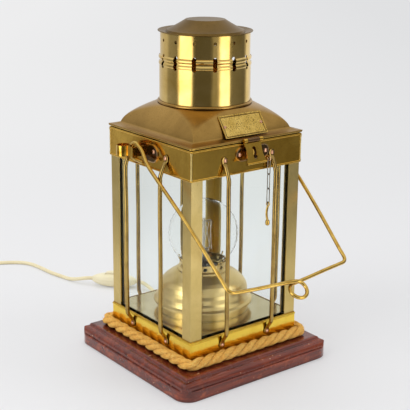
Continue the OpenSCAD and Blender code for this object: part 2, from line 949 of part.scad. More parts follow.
// Strap, standing web, outer arm and pocket on the left side
module bracket() {
  web_y0 = pivot_back - strap_t / 2;
  color(BRASS)
    difference() {
      union() {
        translate([0, (leaf_back - leaf_front) / 2, leaf_z])
          rotate(-90)
            translate([0, -face, 0])
              stadium(leaf_front + leaf_back, leaf_h, strap_t);
        translate([-face - strap_t, 0, strap_z - strap_h / 2])
          cube([strap_t, web_y0 + strap_t, strap_h]);
        translate([-strap_reach, web_y0, strap_z - strap_h / 2])
          cube([strap_reach - face, strap_t, strap_h]);
        translate([-strap_reach, web_y0, strap_z - strap_h / 2])
          cube([strap_t, pocket_y - pocket_r + 1 - web_y0, strap_h]);
        translate([-pocket_x, pocket_y, pocket_z - pocket_h / 2])
          cylinder(r = pocket_r, h = pocket_h, $fn = 64);
      }
      translate([-pocket_x, pocket_y, pocket_z - pocket_h / 2 - 1])
        cylinder(r = pocket_r - pocket_wall, h = pocket_h + 2, $fn = 64);
      rivet_holes(rivet_d + fit, band_bottom, band_top);
    }
}

module left_bracket() { bracket(); }

module right_bracket() {
  mirror([1, 0, 0])
    bracket();
}

// Bends of the bail's arm: distances from the pivot, and the rise over a straight line there
BAIL_BEND = [[5, 0.9], [10, 0.8], [16, -0.3], [22, -1.5], [29, -1.9], [38, -1.2], [54, 0.2],
             [75, 2.4], [95, 3], [115, 3], [135, 2.6], [155, 1.8], [180, 0.7]];

// Half of the bail, from its tail to the middle, lying along -Y with its pivot at the origin
function bail_half_path() =
  let (
    x = bail_half_w,
    corner = [bail_corner_half, -bail_arm, bail_eye_r],
    middle = [0, -bail_arm - bail_bow, bail_eye_r],
    arm = [
      for (b = BAIL_BEND)
        let (s = b[0], tapered = (s - bail_taper) / (bail_arm - bail_taper - 12))
          [x + bail_set * ease((s - 8) / 22) - (bail_set + x - bail_corner_half) * min(1, max(0, tapered)),
           -s, bail_eye_r + b[1]]
    ]
  )
  concat(
    [[x, -bail_tail, bail_tail_up]],
    [for (i = [0:15]) let (a = bail_turn + (90 - bail_turn) * i / 15)
      [x, bail_eye_r * cos(a), bail_eye_r * sin(a)]],
    arm,
    bend(arm[len(arm) - 1], corner, middle, 8, 6)
  );

// Whole bail: left half, one turn of the loop, right half
function bail_path() =
  let (
    half = bail_half_path(),
    mirrored = [for (p = half) [-p[0], p[1], p[2]]],
    loop_y = -bail_arm - bail_bow - bail_loop_r,
    loop = [
      for (i = [0:24])
        let (a = 90 - 15 * i, lift = bail_cross * (1 - i / 12))
          [bail_loop_r * cos(a), loop_y + bail_loop_r * sin(a), bail_eye_r + lift]
    ],
    n = len(half) - 1,
    w = bail_corner_half,
    lead_in = [
      for (f = [0.6, 0.29, 0.1]) [-f * w, cross_y(f * w), bail_eye_r + bail_cross * ease((0.72 - f) / 0.66)]
    ],
    lead_out = [
      for (f = [0.1, 0.29, 0.6]) [f * w, cross_y(f * w), bail_eye_r - bail_cross * ease((0.72 - f) / 0.66)]
    ]
  )
  concat(mirrored, lead_in, loop, lead_out, [for (i = [0:n]) half[n - i]]);

function cross_y(x) = -bail_arm - bail_bow * (1 - abs(x) / bail_corner_half);

module bail() {
  color(BRASS)
    translate([0, pivot_back, pivot_z])
      rotate([bail_rest, 0, 0])
        tube(bail_path(), bail_r, 10);
}

module staple_plate() {
  color(DARK_BRASS)
    difference() {
      union() {
        translate([staple_plate_x, -face, staple_plate_z])
          stadium(staple_plate_w, staple_plate_h, hinge_t);
        translate([eyelet_x, -eyelet_y, eyelet_z])
          rotate([0, 90, 0])
            rotate_extrude($fn = 32)
              translate([eyelet_r, 0])
                circle(r = eyelet_wire, $fn = 16);
      }
      rivet_holes(rivet_d + fit, band_bottom, band_top);
    }
}

module staple() {
  color(BRASS)
    translate([hasp_x, -face - hinge_t, staple_z])
      rotate([0, 90, 0])
        rotate(180)
          rotate_extrude(angle = 180, $fn = 48)
            translate([staple_r, 0])
              circle(d = staple_d, $fn = 24);
}

// One link with its upper bend's middle at the origin, in the XZ plane
module link() {
  mid_w = (link_w - chain_wire) / 2;
  straight = link_mid_len - 2 * mid_w;
  translate([0, 0, -mid_w]) {
    rotate([90, 0, 0])
      half_ring(mid_w);
    for (s = [-1, 1])
      translate([s * mid_w, 0, -straight])
        cylinder(d = chain_wire, h = straight, $fn = 16);
    translate([0, 0, -straight])
      rotate([90, 0, 180])
        rotate(180)
          half_ring(mid_w);
  }
}

module half_ring(r) {
  rotate_extrude(angle = 180, $fn = 32)
    translate([r, 0])
      circle(d = chain_wire, $fn = 16);
}

module chain() {
  color(STEEL)
    for (i = [0:link_count - 1])
      translate([eyelet_x, -eyelet_y, chain_top_z - i * link_step])
        rotate(90 * (i % 2))
          link();
}

// Eye, bowed shank and fat end
module locking_pin() {
  end_z = lock_eye_z + lock_eye_r - lock_pin_len;
  shank_top = lock_eye_z - lock_eye_r;
  shank_bottom = end_z + lock_end_len - 1;
  shank = [
    for (i = [0:8])
      let (t = i / 8)
        [-lock_bow * sin(180 * t), 0, shank_top + (shank_bottom - shank_top) * t]
  ];
  color(BRASS)
    translate([eyelet_x, -eyelet_y, 0]) {
      translate([0, 0, lock_eye_z])
        rotate([0, 90, 0])
          rotate_extrude($fn = 32)
            translate([lock_eye_r, 0])
              circle(r = lock_wire, $fn = 16);
      tube(shank, lock_shank_r, 10, [0, 1, 0]);
      for (z = [end_z + lock_end_r, end_z + lock_end_len - lock_end_r])
        translate([0, 0, z])
          sphere(r = lock_end_r, $fn = 32);
      translate([0, 0, end_z + lock_end_r])
        cylinder(r = lock_end_r, h = lock_end_len - 2 * lock_end_r, $fn = 32);
    }
}

// Knuckle centred on its axis, with the pin's bore cut by the caller
module knuckle(x0, x1) {
  translate([x0, 0, 0])
    rotate([0, 90, 0])
      cylinder(r = knuckle_r, h = x1 - x0, $fn = 48);
}

module pin_bore() {
  translate([-hinge_w, 0, 0])
    rotate([0, 90, 0])
      cylinder(r = hinge_pin_r + fit / 2, h = 2 * hinge_w, $fn = 48);
}

module hasp_outline() {
  top = hasp_w / 2;
  waist = hasp_waist / 2;
  foot = hasp_foot / 2;
  right = [
    [top, 0], [top, -4], [waist + 0.3, -7], [waist, -hasp_len * 0.45], [waist + 0.3, -hasp_len * 0.65],
    [foot - 0.6, -hasp_len + 2.5], [foot, -hasp_len]
  ];
  n = len(right) - 1;
  polygon(concat(right, [for (i = [0:n]) [-right[n - i][0], right[n - i][1]]]));
}

// Hung from the front axis: the plate lies inward of the axis when it is closed
module hasp() {
  plate_y = 1;
  notch_h = knuckle_r + 1;
  color(BRASS)
    translate([hasp_x, -hinge_y, hinge_z])
      rotate([-hasp_ajar, 0, 0])
        difference() {
          union() {
            translate([0, plate_y + hinge_t, 0])
              rotate([90, 0, 0])
                linear_extrude(hinge_t)
                  hasp_outline();
            for (s = [-1, 1])
              knuckle(s < 0 ? -hinge_w / 2 : tongue_w / 2 + apart,
                      s < 0 ? -tongue_w / 2 - apart : hinge_w / 2);
            translate([-hasp_foot / 2, plate_y - 0.2, -hasp_len])
              rotate([0, 90, 0])
                cylinder(r = 1.1, h = hasp_foot, $fn = 24);
          }
          pin_bore();
          translate([-tongue_w / 2 - apart, -knuckle_r - 1, -notch_h])
            cube([tongue_w + 2 * apart, 2 * knuckle_r + 3, notch_h + knuckle_r + 1]);
          for (s = [-1, 1])
            translate([0, -1, -hasp_slot_down + s * (hasp_slot_h - hasp_slot_w) / 2])
              rotate([-90, 0, 0])
                cylinder(d = hasp_slot_w, h = 6, $fn = 32);
          translate([-hasp_slot_w / 2, -1, -hasp_slot_down - (hasp_slot_h - hasp_slot_w) / 2])
            cube([hasp_slot_w, 6, hasp_slot_h - hasp_slot_w]);
        }
}

// Leaf under the hood's frame with one knuckle in the middle
module moving_leaf() {
  leg_y = flange_leg_out + loose;
  difference() {
    union() {
      knuckle(-tongue_w / 2, tongue_w / 2);
      translate([-tongue_w / 2, 0, -knuckle_r])
        cube([tongue_w, hinge_y - face + 2, hinge_leaf_t()]);
      translate([-hinge_w / 2, hinge_y - face + 0.6, -knuckle_r])
        cube([hinge_w, face - 0.6 - leg_y, hinge_leaf_t()]);
    }
    pin_bore();
  }
}

function hinge_leaf_t() = knuckle_r - (hinge_z - hood_z) - flange_t;

module hasp_leaf() {
  color(BRASS)
    translate([hasp_x, -hinge_y, hinge_z])
      moving_leaf();
}

module hood_leaf() {
  color(BRASS)
    translate([0, hinge_y, hinge_z])
      rotate(180)
        moving_leaf();
}

module hinge_pin_at(x) {
  translate([x - hinge_w / 2 - 0.5, 0, 0])
    rotate([0, 90, 0])
      cylinder(r = hinge_pin_r, h = hinge_w + 1, $fn = 48);
}

module hasp_pin() {
  color(BRASS)
    translate([0, -hinge_y, hinge_z])
      hinge_pin_at(hasp_x);
}

module hinge_pin() {
  color(BRASS)
    translate([0, hinge_y, hinge_z])
      hinge_pin_at(0);
}

// Leaf on the back of the band, stepped out over its upper lip, with two knuckles
module hinge_leaf() {
  step_z = band_top - 2 * lip_r - 1;
  leaf_top = hood_z - apart;
  color(BRASS)
    difference() {
      union() {
        translate([-hinge_w / 2, face, step_z - hinge_leaf_h])
          cube([hinge_w, hinge_t, hinge_leaf_h]);
        translate([-hinge_w / 2, face, step_z - hinge_t])
          cube([hinge_w, hinge_leaf_y + hinge_t - face, hinge_t]);
        translate([-hinge_w / 2, hinge_leaf_y, step_z - hinge_t])
          cube([hinge_w, hinge_t, leaf_top - step_z + hinge_t]);
        translate([0, hinge_y, hinge_z])
          for (s = [-1, 1])
            knuckle(s < 0 ? -hinge_w / 2 : tongue_w / 2 + apart,
                    s < 0 ? -tongue_w / 2 - apart : hinge_w / 2);
      }
      translate([0, hinge_y, hinge_z])
        pin_bore();
      translate([-tongue_w / 2 - apart, face, hinge_z - knuckle_r - 0.5])
        cube([tongue_w + 2 * apart, 10, 10]);
    }
}

// Half width, corner radius and height of the hood's outside, from rim to neck
function hood_lip_sections() =
  [for (i = [0:4]) let (t = i / 4)
    [hood_half - hood_lip_w * t, 0.6, hood_z + hood_edge + hood_lip_h * t * t]];

function hood_side_sections() =
  [for (i = [1:10])
    let (t = i / 10, h = neck_half + (shoulder_half - neck_half) * (1 - pow(t, 1.15)))
      [h, max(0.6, 0.99 * h * pow(t, 2.6)), shoulder_z + hood_rise * t]];

function rounded_square(h, r, z) = [
  for (q = [0:3], i = [0:8])
    let (a = 90 * q + 90 * i / 8, c = h - r, d = [[1, 1], [-1, 1], [-1, -1], [1, -1]][q])
      [c * d[0] + r * cos(a), c * d[1] + r * sin(a), z]
];

module hood() {
  outer = concat([[hood_half, 0.6, hood_z]], hood_lip_sections(), hood_side_sections());
  n = len(outer) - 1;
  in = 0.78 * hood_t;
  inner = [
    for (i = [0:n])
      let (s = outer[n - i])
        i == n ? [hood_half - 2.3, 0.4, hood_z]
        : i == n - 1 ? [hood_half - 2.8, 0.4, hood_z + 0.2]
        : i == 0 ? [neck_open, 0.99 * neck_open, s[2]]
        : [s[0] - in - 0.2, max(0.3, s[1] - in), s[2] - in]
  ];
  shell = concat(outer, inner);
  color(AGED_BRASS)
    closed_loft([for (s = shell) rounded_square(s[0], s[1], s[2])]);
}

// Ring-shaped solid: the last section joins the first
module closed_loft(sections) {
  n = len(sections[0]);
  m = len(sections);
  points = [for (s = sections) each s];
  polyhedron(points, [
    for (k = [0:m - 1], i = [0:n - 1])
      let (j = (i + 1) % n, from = k * n, to = (k + 1) % m * n)
        each [[from + i, to + j, from + j], [from + i, to + i, to + j]]
  ]);
}

module hood_flange() {
  color(DARK_BRASS) {
    square_ring(flange_out, flange_out - flange_w, hood_z - flange_t, hood_z);
    square_ring(flange_leg_out, flange_leg_out - flange_leg_t,
                hood_z - flange_t - flange_h, hood_z - flange_t / 2);
  }
}

module chimney_ring() {
  color(AGED_BRASS)
    translate([0, 0, neck_z])
      rotate_extrude($fn = 128)
        polygon(concat(
          [[chimney_r + fit, 0]],
          arc([chimney_r + fit + bead_r / 2, bead_r], bead_r / 2 + 0.6, bead_r, -90, 90, 10),
          [[chimney_r + fit, 2 * bead_r]]
        ));
}

// Outline of the chimney's outside: a plain lower wall, two ridges, a plain upper wall
function chimney_line() =
  let (
    r = chimney_r,
    upper = chimney_r - 1,
    low = slot_z - ridge_low,
    high = slot_z + ridge_high,
    w = 2.6
  )
  concat(
    [[r, chimney_z], [r, low - w]],
    [for (i = [1:7]) [r - 0.4 + (ridge_h + 0.2) * sin(22.5 * i), low - w + 2 * w * i / 8]],
    [[upper + 0.5, low + w], [upper + 0.5, high - w]],
    [for (i = [1:7]) [r - 0.6 + (ridge_h + 0.4) * sin(22.5 * i), high - w + 2 * w * i / 8]],
    [[upper, high + w], [upper, chimney_top]]
  );

module chimney() {
  line = chimney_line();
  n = len(line) - 1;
  back = [for (i = [0:n]) [line[n - i][0] - chimney_t, line[n - i][1]]];
  color(BRASS)
    difference() {
      rotate_extrude($fn = 128)
        polygon(concat(line, back));
      for (i = [0:slot_count - 1])
        rotate(-90 + 360 * i / slot_count) {
          for (s = [-1, 1])
            translate([chimney_r - 8, 0, slot_z + s * (slot_h - slot_w) / 2])
              rotate([0, 90, 0])
                cylinder(d = slot_w, h = 16, $fn = 24);
          translate([chimney_r - 8, -slot_w / 2, slot_z - (slot_h - slot_w) / 2])
            cube([16, slot_w, slot_h - slot_w]);
          translate([chimney_r - 8, 0, vent_z])
            rotate([0, 90, 0])
              cylinder(d = vent_d, h = 16, $fn = 24);
        }
    }
}

// Underside of the cap's dished brim, which lies on the chimney's upper edge
function brim_z(r) = cap_z + cap_dish * (r - chimney_r + 1 + chimney_t) / cap_lip_w;

// Brim, concave slope and flat top in one sheet, with a collar that fits in the chimney
function cap_line() =
  let (
    r = cap_d / 2,
    foot = r - cap_lip_w,
    top = cap_top_d / 2,
    rise = cap_h - cap_t - 2.4
  )
  concat(
    [[r - 0.3, brim_z(r)], [r, brim_z(r) + cap_t / 2], [r - 0.3, brim_z(r) + cap_t],
     [foot + 1.2, brim_z(foot) + cap_t]],
    [for (i = [0:8])
      let (t = i / 8)
        [foot - (foot - top) * t, cap_z + cap_t + 1 + 1.4 * t + rise * pow(t, 1.2)]]
  );

module cap() {
  collar_r = chimney_r - 1 - chimney_t - fit;
  line = cap_line();
  n = len(line) - 1;
  collar_in = collar_r - 0.8;
  collar_h = 8;
  color(AGED_BRASS)
    rotate_extrude($fn = 128)
      polygon(concat(
        [[0, cap_z + cap_h]],
        [for (i = [n:-1:0]) line[i]],
        [[collar_r, brim_z(collar_r)], [collar_r, cap_z - collar_h], [collar_in, cap_z - collar_h],
         [collar_in, brim_z(collar_in)], [cap_d / 2 - cap_lip_w + 0.4, brim_z(cap_d / 2 - cap_lip_w)]],
        [for (i = [4:n]) [line[i][0] - 0.9, line[i][1] - cap_t]],
        [[0, cap_z + cap_h - cap_t]]
      ));
}

module at_plate() {
  translate([plate_x, -plate_foot_y, plate_foot_z])
    rotate([90 - plate_lean, 0, 0])
      children();
}

module name_plate() {
  color(BRASS)
    difference() {
      at_plate()
        translate([-plate_w / 2, 0, 0])
          cube([plate_w, plate_h, plate_t]);
      at_plate()
        translate([-plate_w / 2 + plate_rim, plate_rim, plate_t - plate_sunk])
          cube([plate_w - 2 * plate_rim, plate_h - 2 * plate_rim, plate_t]);
      at_plate_rivets()
        translate([0, 0, -1])
          cylinder(d = rivet_d - 0.8, h = 4, $fn = 24);
    }
}

module at_plate_rivets() {
  at_plate()
    for (s = [-1, 1])
      translate([s * (plate_w / 2 - 4), plate_h / 2, 0])
        children();
}

module plate_rivets() {
  color(COPPER)
    at_plate_rivets() {
      translate([0, 0, plate_t - plate_sunk])
        rotate_extrude($fn = 32)
          polygon(concat([[0, 0]], arc([0, 0], rivet_head_d / 2 - 0.5, rivet_head_h - 0.4, 0, 90, 6)));
      cylinder(d = rivet_d - 0.8 - fit, h = plate_t, $fn = 24);
    }
}

// Outline of the font's outside from its foot to the collar
function font_line() =
  let (
    z = font_z,
    rim_z = font_z + font_foot_h,
    top = font_top_r
  )
  concat(
    [[font_foot_r, z], [font_foot_r, rim_z], [font_rim_r, rim_z], [font_rim_r, rim_z + 2],
     [font_wall_r + 2.4, rim_z + 4], [font_wall_r + 0.8, rim_z + 7], [font_wall_r, rim_z + 10]],
    [for (i = [0:8])
      let (a = 90 * i / 8)
        [top + (font_wall_r - top) * pow(cos(a), 2), z + font_wall_h + font_dome_h * sin(a)]]
  );

module font() {
  line = font_line();
  n = len(line) - 1;
  color(BRASS)
    difference() {
      rotate_extrude($fn = 96)
        polygon(concat(
          [[0, font_z]], line, [[font_top_r - font_t, font_top_z]],
          [for (i = [n - 1:-1:6]) [line[i][0] - font_t, line[i][1] - font_t]],
          [[font_foot_r - font_t, font_z + font_foot_h + 3], [font_foot_r - font_t, font_z + font_t],
           [0, font_z + font_t]]
        ));
      translate([0, 0, font_z - 1])
        cylinder(r = tube_r + fit, h = font_t + 2, $fn = 48);
    }
}

module burner_gallery() {
  z = font_top_z;
  color(BRASS) {
    difference() {
      rotate_extrude($fn = 96)
        polygon([
          [font_top_r - 0.4, z], [font_top_r - 0.4, z + 2], [gallery_r, z + 3.5],
          [gallery_r, z + gallery_h - 2], [gallery_r - 0.8, z + gallery_h - 2], [gallery_r - 0.8, z + 2.6],
          [gallery_r - 3, z + 1.2], [gallery_r - 3, z]
        ]);
      for (i = [0:2 * prong_count - 1])
        rotate(360 * (i + 0.5) / (2 * prong_count))
          translate([gallery_r - 3, 0, z + 6.5])
            rotate([0, 90, 0])
              cylinder(d = 4.4, h = 6, $fn = 24);
    }
    for (i = [0:prong_count - 1])
      rotate(360 * i / prong_count) {
        bar([gallery_r - 0.4, 0, z + gallery_h - 4], [gallery_r + 1.6, 0, z + gallery_h + 1], 0.8);
        translate([gallery_r + 1.6, 0, z + gallery_h + 1])
          sphere(r = 1.1, $fn = 20);
      }
  }
}

module threaded_tube() {
  color(BRASS)
    difference() {
      translate([0, 0, tube_z0])
        cylinder(r = tube_r, h = tube_z1 - tube_z0, $fn = 48);
      translate([0, 0, tube_z0 - 1])
        cylinder(r = tube_r - 1.4, h = tube_z1 - tube_z0 + 2, $fn = 48);
    }
}

module lock_nuts() {
  color(STEEL)
    for (z = [recess_h - nut_h, font_z + font_t])
      translate([0, 0, z])
        difference() {
          cylinder(d = nut_w, h = nut_h, $fn = 6);
          translate([0, 0, -1])
            cylinder(r = tube_r + fit / 2, h = nut_h + 2, $fn = 48);
        }
}

module lamp_holder() {
  shell = 2;
  color("#e9e3d0")
    difference() {
      union() {
        translate([0, 0, holder_z])
          cylinder(r = tube_r + 4, h = 5, $fn = 48);
        translate([0, 0, holder_z + 4])
          cylinder(r = holder_r, h = holder_h - 4, $fn = 64);
      }
      translate([0, 0, cap_base_z - 0.6])
        cylinder(r = bulb_cap_r + 0.6, h = holder_h, $fn = 64);
      translate([0, 0, holder_z - 1])
        cylinder(r = tube_r + fit / 2, h = 5, $fn = 48);
      translate([0, 0, holder_z])
        cylinder(r = tube_r - shell, h = holder_h, $fn = 48);
    }
}

module bulb_cap() {
  color("#c9c9c4")
    difference() {
      union() {
        translate([0, 0, cap_base_z + 3])
          cylinder(r = bulb_cap_r, h = bulb_cap_h - 3, $fn = 64);
        translate([0, 0, cap_base_z - 0.6])
          cylinder(r = 5, h = 4, $fn = 32);
      }
      translate([0, 0, cap_base_z + 5])
        cylinder(r = bulb_neck_r + fit, h = bulb_cap_h, $fn = 64);
    }
}

// Outline of the bulb: a straight seat in the cap, a flared neck and a globe
function bulb_line(r, neck_r) =
  let (
    z0 = bulb_neck_z - 6,
    join = 40,
    join_r = r * sin(join),
    join_z = bulb_z - r * cos(join)
  )
  concat(
    [[neck_r, z0], [neck_r, bulb_neck_z]],
    [for (i = [1:4]) let (t = i / 5)
      [neck_r + (join_r - neck_r) * t * t, bulb_neck_z + (join_z - bulb_neck_z) * t]],
    [for (a = [join:10:170]) [r * sin(a), bulb_z - r * cos(a)]],
    [[0, bulb_z + r]]
  );

module bulb_glass() {
  outer = bulb_line(bulb_r, bulb_neck_r);
  inner = bulb_line(bulb_r - bulb_t, bulb_neck_r - bulb_t);
  n = len(inner) - 1;
  color(GLASS)
    rotate_extrude($fn = 96)
      polygon(concat(outer, [for (i = [0:n]) inner[n - i]]));
}

// Glass stem in the neck, a rod with two stars of supports, and the filament between them
module bulb_filament() {
  stem_top = bulb_z - 22;
  cage_r = 9;
  cage_h = 34;
  low = stem_top + 2;
  high = low + cage_h;
  wire = 0.35;
  seat = bulb_neck_r - bulb_t - fit;
  color("#cfae72") {
    translate([0, 0, bulb_neck_z - 5])
      cylinder(r = seat, h = 3, $fn = 48);
    translate([0, 0, bulb_neck_z - 5])
      cylinder(r = 3.2, h = stem_top - bulb_neck_z + 5, $fn = 32);
    translate([0, 0, stem_top - 1])
      cylinder(r = 1.6, h = cage_h + 6, $fn = 24);
    for (i = [0:7])
      rotate(45 * i) {
        for (z = [low, high]) {
          bar([1, 0, z], [cage_r, 0, z], wire);
          translate([cage_r, 0, z])
            sphere(r = wire + 0.2, $fn = 16);
        }
        bar([cage_r, 0, low], [cage_r * cos(45), cage_r * sin(45), high], wire);
      }
  }
}

// Cord inside the base, then its two wires up the tube
module inner_leads() {
  split_y = 12;
  wire_r = 0.9;
  spread = 1.3;
  color(CREAM)
    translate([0, split_y, cord_z])
      rotate([-90, 0, 0])
        cylinder(d = cord_d, h = bush_end_y - split_y, $fn = 32);
  color("#8a5a3a")
    for (s = [-1, 1]) {
      path = concat(
        [[s * spread, split_y - 0.01, cord_z]],
        bend([s * spread, split_y, cord_z], [s * spread, 0, cord_z], [s * spread, 0, tube_z1], 5, 6),
        [[s * spread, 0, tube_z1 - 1]]
      );
      tube(path, wire_r, 8);
    }
}

module cord_bush() {
  color(CREAM)
    translate([0, base_half, cord_z])
      rotate([-90, 0, 0])
        difference() {
          union() {
            translate([0, 0, -bush_stub])
              cylinder(r = bush_stub_r, h = bush_stub + 1, $fn = 48);
            rotate_extrude($fn = 48)
              polygon([[0, 0], [bush_r, 0], [bush_r, 2.5], [bush_r - 0.8, 3],
                       [cord_r + 0.8, bush_len], [0, bush_len]]);
          }
          translate([0, 0, -bush_stub - 1])
            cylinder(r = cord_r + fit / 2, h = bush_len + bush_stub + 2, $fn = 48);
        }
}

// Plan of the cord from the lamp to the switch
function lead_plan() =
  let (
    last_turn = switch_turn - 90,
    end = flat(switch_near - cord_straight * switch_dir),
    x = end[0] + lead_turn_r * (1 - cos(last_turn)),
    y = end[1] - lead_turn_r * sin(last_turn)
  )
  concat(
    [[0, bush_end_y], [0, bush_end_y + cord_straight]],
    arc([lead_r, lead_start], lead_r, lead_r, 180, 90, 8),
    arc([x - lead_r, lead_start + 2 * lead_r], lead_r, lead_r, -90, 0, 8),
    arc([x - lead_turn_r, y], lead_turn_r, lead_turn_r, 0, last_turn, 6),
    [flat(switch_near)]
  );

// Distance along a plan to each of its points
function distances(p) = [
  for (i = 0, s = 0; i < len(p); i = i + 1, s = s + (i < len(p) ? norm(p[i] - p[i - 1]) : 0)) s
];

// Cord over a plan: it drops from z0 to the floor, and climbs to z1 before its end
function laid(plan, z0, drop, z1, climb) =
  let (s = distances(plan), total = s[len(s) - 1])
  [for (i = [0:len(plan) - 1])
    [plan[i][0], plan[i][1],
     cord_r + (z0 - cord_r) * (1 - ease((s[i] - cord_straight) / drop))
     + (z1 - cord_r) * ease((s[i] - total + climb + cord_straight) / climb)]];

function lead_path() = laid(lead_plan(), cord_z, lead_drop, switch_near[2], lead_climb);

function flat(p) = [p[0], p[1]];

function run_path() =
  let (
    steps = 3,
    from = flat(switch_far),
    to = flat(coil_from),
    out = flat(switch_dir),
    in = [cos(coil_heading), sin(coil_heading)],
    line = smooth(concat([from - 14 * out, from + cord_straight * out], RUN,
                         [to - cord_straight * in, to + 25 * in]), steps),
    plan = concat([from], [for (i = [steps:len(line) - 1 - steps]) line[i]], [to])
  )
  laid(plan, switch_near[2], lead_climb, cord_r, 1);

module cord_lead() {
  color(CREAM)
    tube(lead_path(), cord_r, 8);
}

module cord_run() {
  color(CREAM)
    tube(run_path(), cord_r, 8);
}

module at_switch() {
  translate((switch_near + switch_far) / 2)
    rotate(switch_turn)
      children();
}

// Lens-shaped body, slim at both ends where the cord enters
module cord_switch() {
  end_r = cord_r + 1.2;
  sections = [
    for (i = [0:12])
      let (
        s = -1 + i / 6,
        f = pow(max(0, 1 - s * s), 0.8),
        w = end_r + (switch_w / 2 - end_r) * f,
        h = end_r + (switch_h / 2 - end_r) * f
      )
      [for (k = [0:15])
        let (a = -360 * (k + 0.5) / 16, c = cos(a), d = sin(a))
          [s * switch_len / 2, w * sign(c) * pow(abs(c), 0.8), h * sign(d) * pow(abs(d), 0.8)]]
  ];
  color(CREAM)
    at_switch()
      difference() {
        loft(sections);
        translate([rocker_x - rocker_len / 2 - apart, -rocker_w / 2 - apart, 1])
          cube([rocker_len + 2 * apart, rocker_w + 2 * apart, switch_h]);
      }
}

// Rocker standing proud of the body, tipped to one side
module switch_rocker() {
  color(CREAM)
    at_switch()
      translate([rocker_x, 0, rocker_up])
        rotate([0, rocker_tip, 0])
          rotate([90, 0, 0])
            translate([0, 0, -rocker_w / 2])
              linear_extrude(rocker_w)
                polygon(concat(
                  [[-2, -3], [2, -3]],
                  [[rocker_len / 2 - 0.5, 0.6], [rocker_len / 2 - 0.4, 3.6]],
                  arc([0, 3.6], rocker_len / 2 - 0.4, 1.4, 20, 160, 6),
                  [[-rocker_len / 2 + 0.4, 3.6], [-rocker_len / 2 + 0.5, 0.6]]
                ));
}

// Radius and height after u turns: in on the floor, out on top, with a climb over the half
// turn where the spiral reverses
function coil_r(u) = coil_outer_r - coil_pitch * min(u, coil_turns - u);

function coil_z(u) = cord_r + coil_layer * ease((u - coil_half + 0.25) * 2);

function coil_point(u) =
  let (a = coil_heading - 90 + 360 * u)
    [coil_centre[0] + coil_r(u) * cos(a), coil_centre[1] + coil_r(u) * sin(a), coil_z(u)];

function along(p, heading, s) = p + s * [cos(heading), sin(heading), 0];

function coil_path() =
  let (n = coil_steps * coil_turns)
    concat(
      [coil_from],
      [for (i = [0:n]) coil_point(i / coil_steps)],
      [coil_point(coil_turns)],
      [along(coil_point(coil_turns), coil_exit_heading, coil_tail)]
    );

coil_clear = 3 * coil_steps / 4;

// Least distance between the surfaces of parts of the coil that aren't neighbours
coil_gap = let (p = coil_path(), n = len(p) - 1)
  min([for (i = [0:n - coil_clear], j = [i + coil_clear:n]) norm(p[i] - p[j])]) - cord_d;

echo(coil_gap = coil_gap);
echo(cord_length = length_of(lead_path()) + switch_len + length_of(run_path()) + length_of(coil_path()));
module cord_coil() {
  color(CREAM)
    tube(coil_path(), cord_r, 6);
}

// Two-pin plug lying flat, its cord end against the end of the coil
module mains_plug() {
  p = coil_path();
  sections = [
    for (s = [[0, 3.6, 3.6], [12, 5, 4.6], [16, 8.5, 6.6], [22, 11.5, 7.8],
              [plug_body - 2, plug_half_w, plug_half_h], [plug_body, plug_half_w - 1, plug_half_h - 1]])
      [for (k = [0:15])
        let (a = -360 * (k + 0.5) / 16, c = cos(a), d = sin(a))
          [s[0], s[1] * sign(c) * pow(abs(c), 0.7), s[2] * sign(d) * pow(abs(d), 0.7)]]
  ];
  color(CREAM)
    translate(p[len(p) - 1])
      rotate(coil_exit_heading) {
        loft(sections);
        for (s = [-1, 1])
          translate([plug_body - 1, s * plug_pin_gap / 2, 0])
            rotate([0, 90, 0])
              cylinder(r = plug_pin_r, h = plug_pin_len + 1, $fn = 32);
      }
}

wooden_base();
base_cover();
wood_screws();
rope_trim();
tray();
floor_plate();
front_left_post();
front_right_post();
back_left_post();
back_right_post();
front_glass();
back_glass();
left_glass();
right_glass();
upper_band();
front_rod_left();
front_rod_right();
back_rod_left();
back_rod_right();
left_rod_front();
left_rod_back();
right_rod_front();
right_rod_back();
copper_rivets();
left_bracket();
right_bracket();
bail();
staple_plate();
staple();
chain();
locking_pin();
hasp();
hasp_leaf();
hasp_pin();
hinge_leaf();
hood_leaf();
hinge_pin();
hood();
hood_flange();
chimney_ring();
chimney();
cap();
name_plate();
plate_rivets();
font();
burner_gallery();
lamp_holder();
bulb_cap();
bulb_glass();
bulb_filament();
threaded_tube();
lock_nuts();
inner_leads();
cord_bush();
cord_lead();
cord_switch();
switch_rocker();
cord_run();
cord_coil();
mains_plug();
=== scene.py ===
"""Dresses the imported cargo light: camera, cord, materials, pieces, floor and light. Metres."""
import json
import math
import random

import bmesh
import bpy
import numpy as np
from mathutils import Matrix, Vector


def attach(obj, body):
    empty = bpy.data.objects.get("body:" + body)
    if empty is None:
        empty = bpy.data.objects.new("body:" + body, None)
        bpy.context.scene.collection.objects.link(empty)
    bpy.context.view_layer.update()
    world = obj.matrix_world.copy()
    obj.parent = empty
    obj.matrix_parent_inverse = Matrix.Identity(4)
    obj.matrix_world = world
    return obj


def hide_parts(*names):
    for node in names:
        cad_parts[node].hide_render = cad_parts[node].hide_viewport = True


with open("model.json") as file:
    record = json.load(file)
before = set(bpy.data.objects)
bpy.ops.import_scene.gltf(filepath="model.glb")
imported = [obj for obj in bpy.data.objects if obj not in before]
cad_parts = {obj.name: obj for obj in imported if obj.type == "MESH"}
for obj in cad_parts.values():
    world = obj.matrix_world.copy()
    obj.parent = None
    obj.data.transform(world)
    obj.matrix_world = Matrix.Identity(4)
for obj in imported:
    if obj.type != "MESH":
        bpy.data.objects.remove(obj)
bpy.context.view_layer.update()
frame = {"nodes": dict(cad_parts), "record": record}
nodes = frame["nodes"]
scene = bpy.context.scene
MM = 0.001

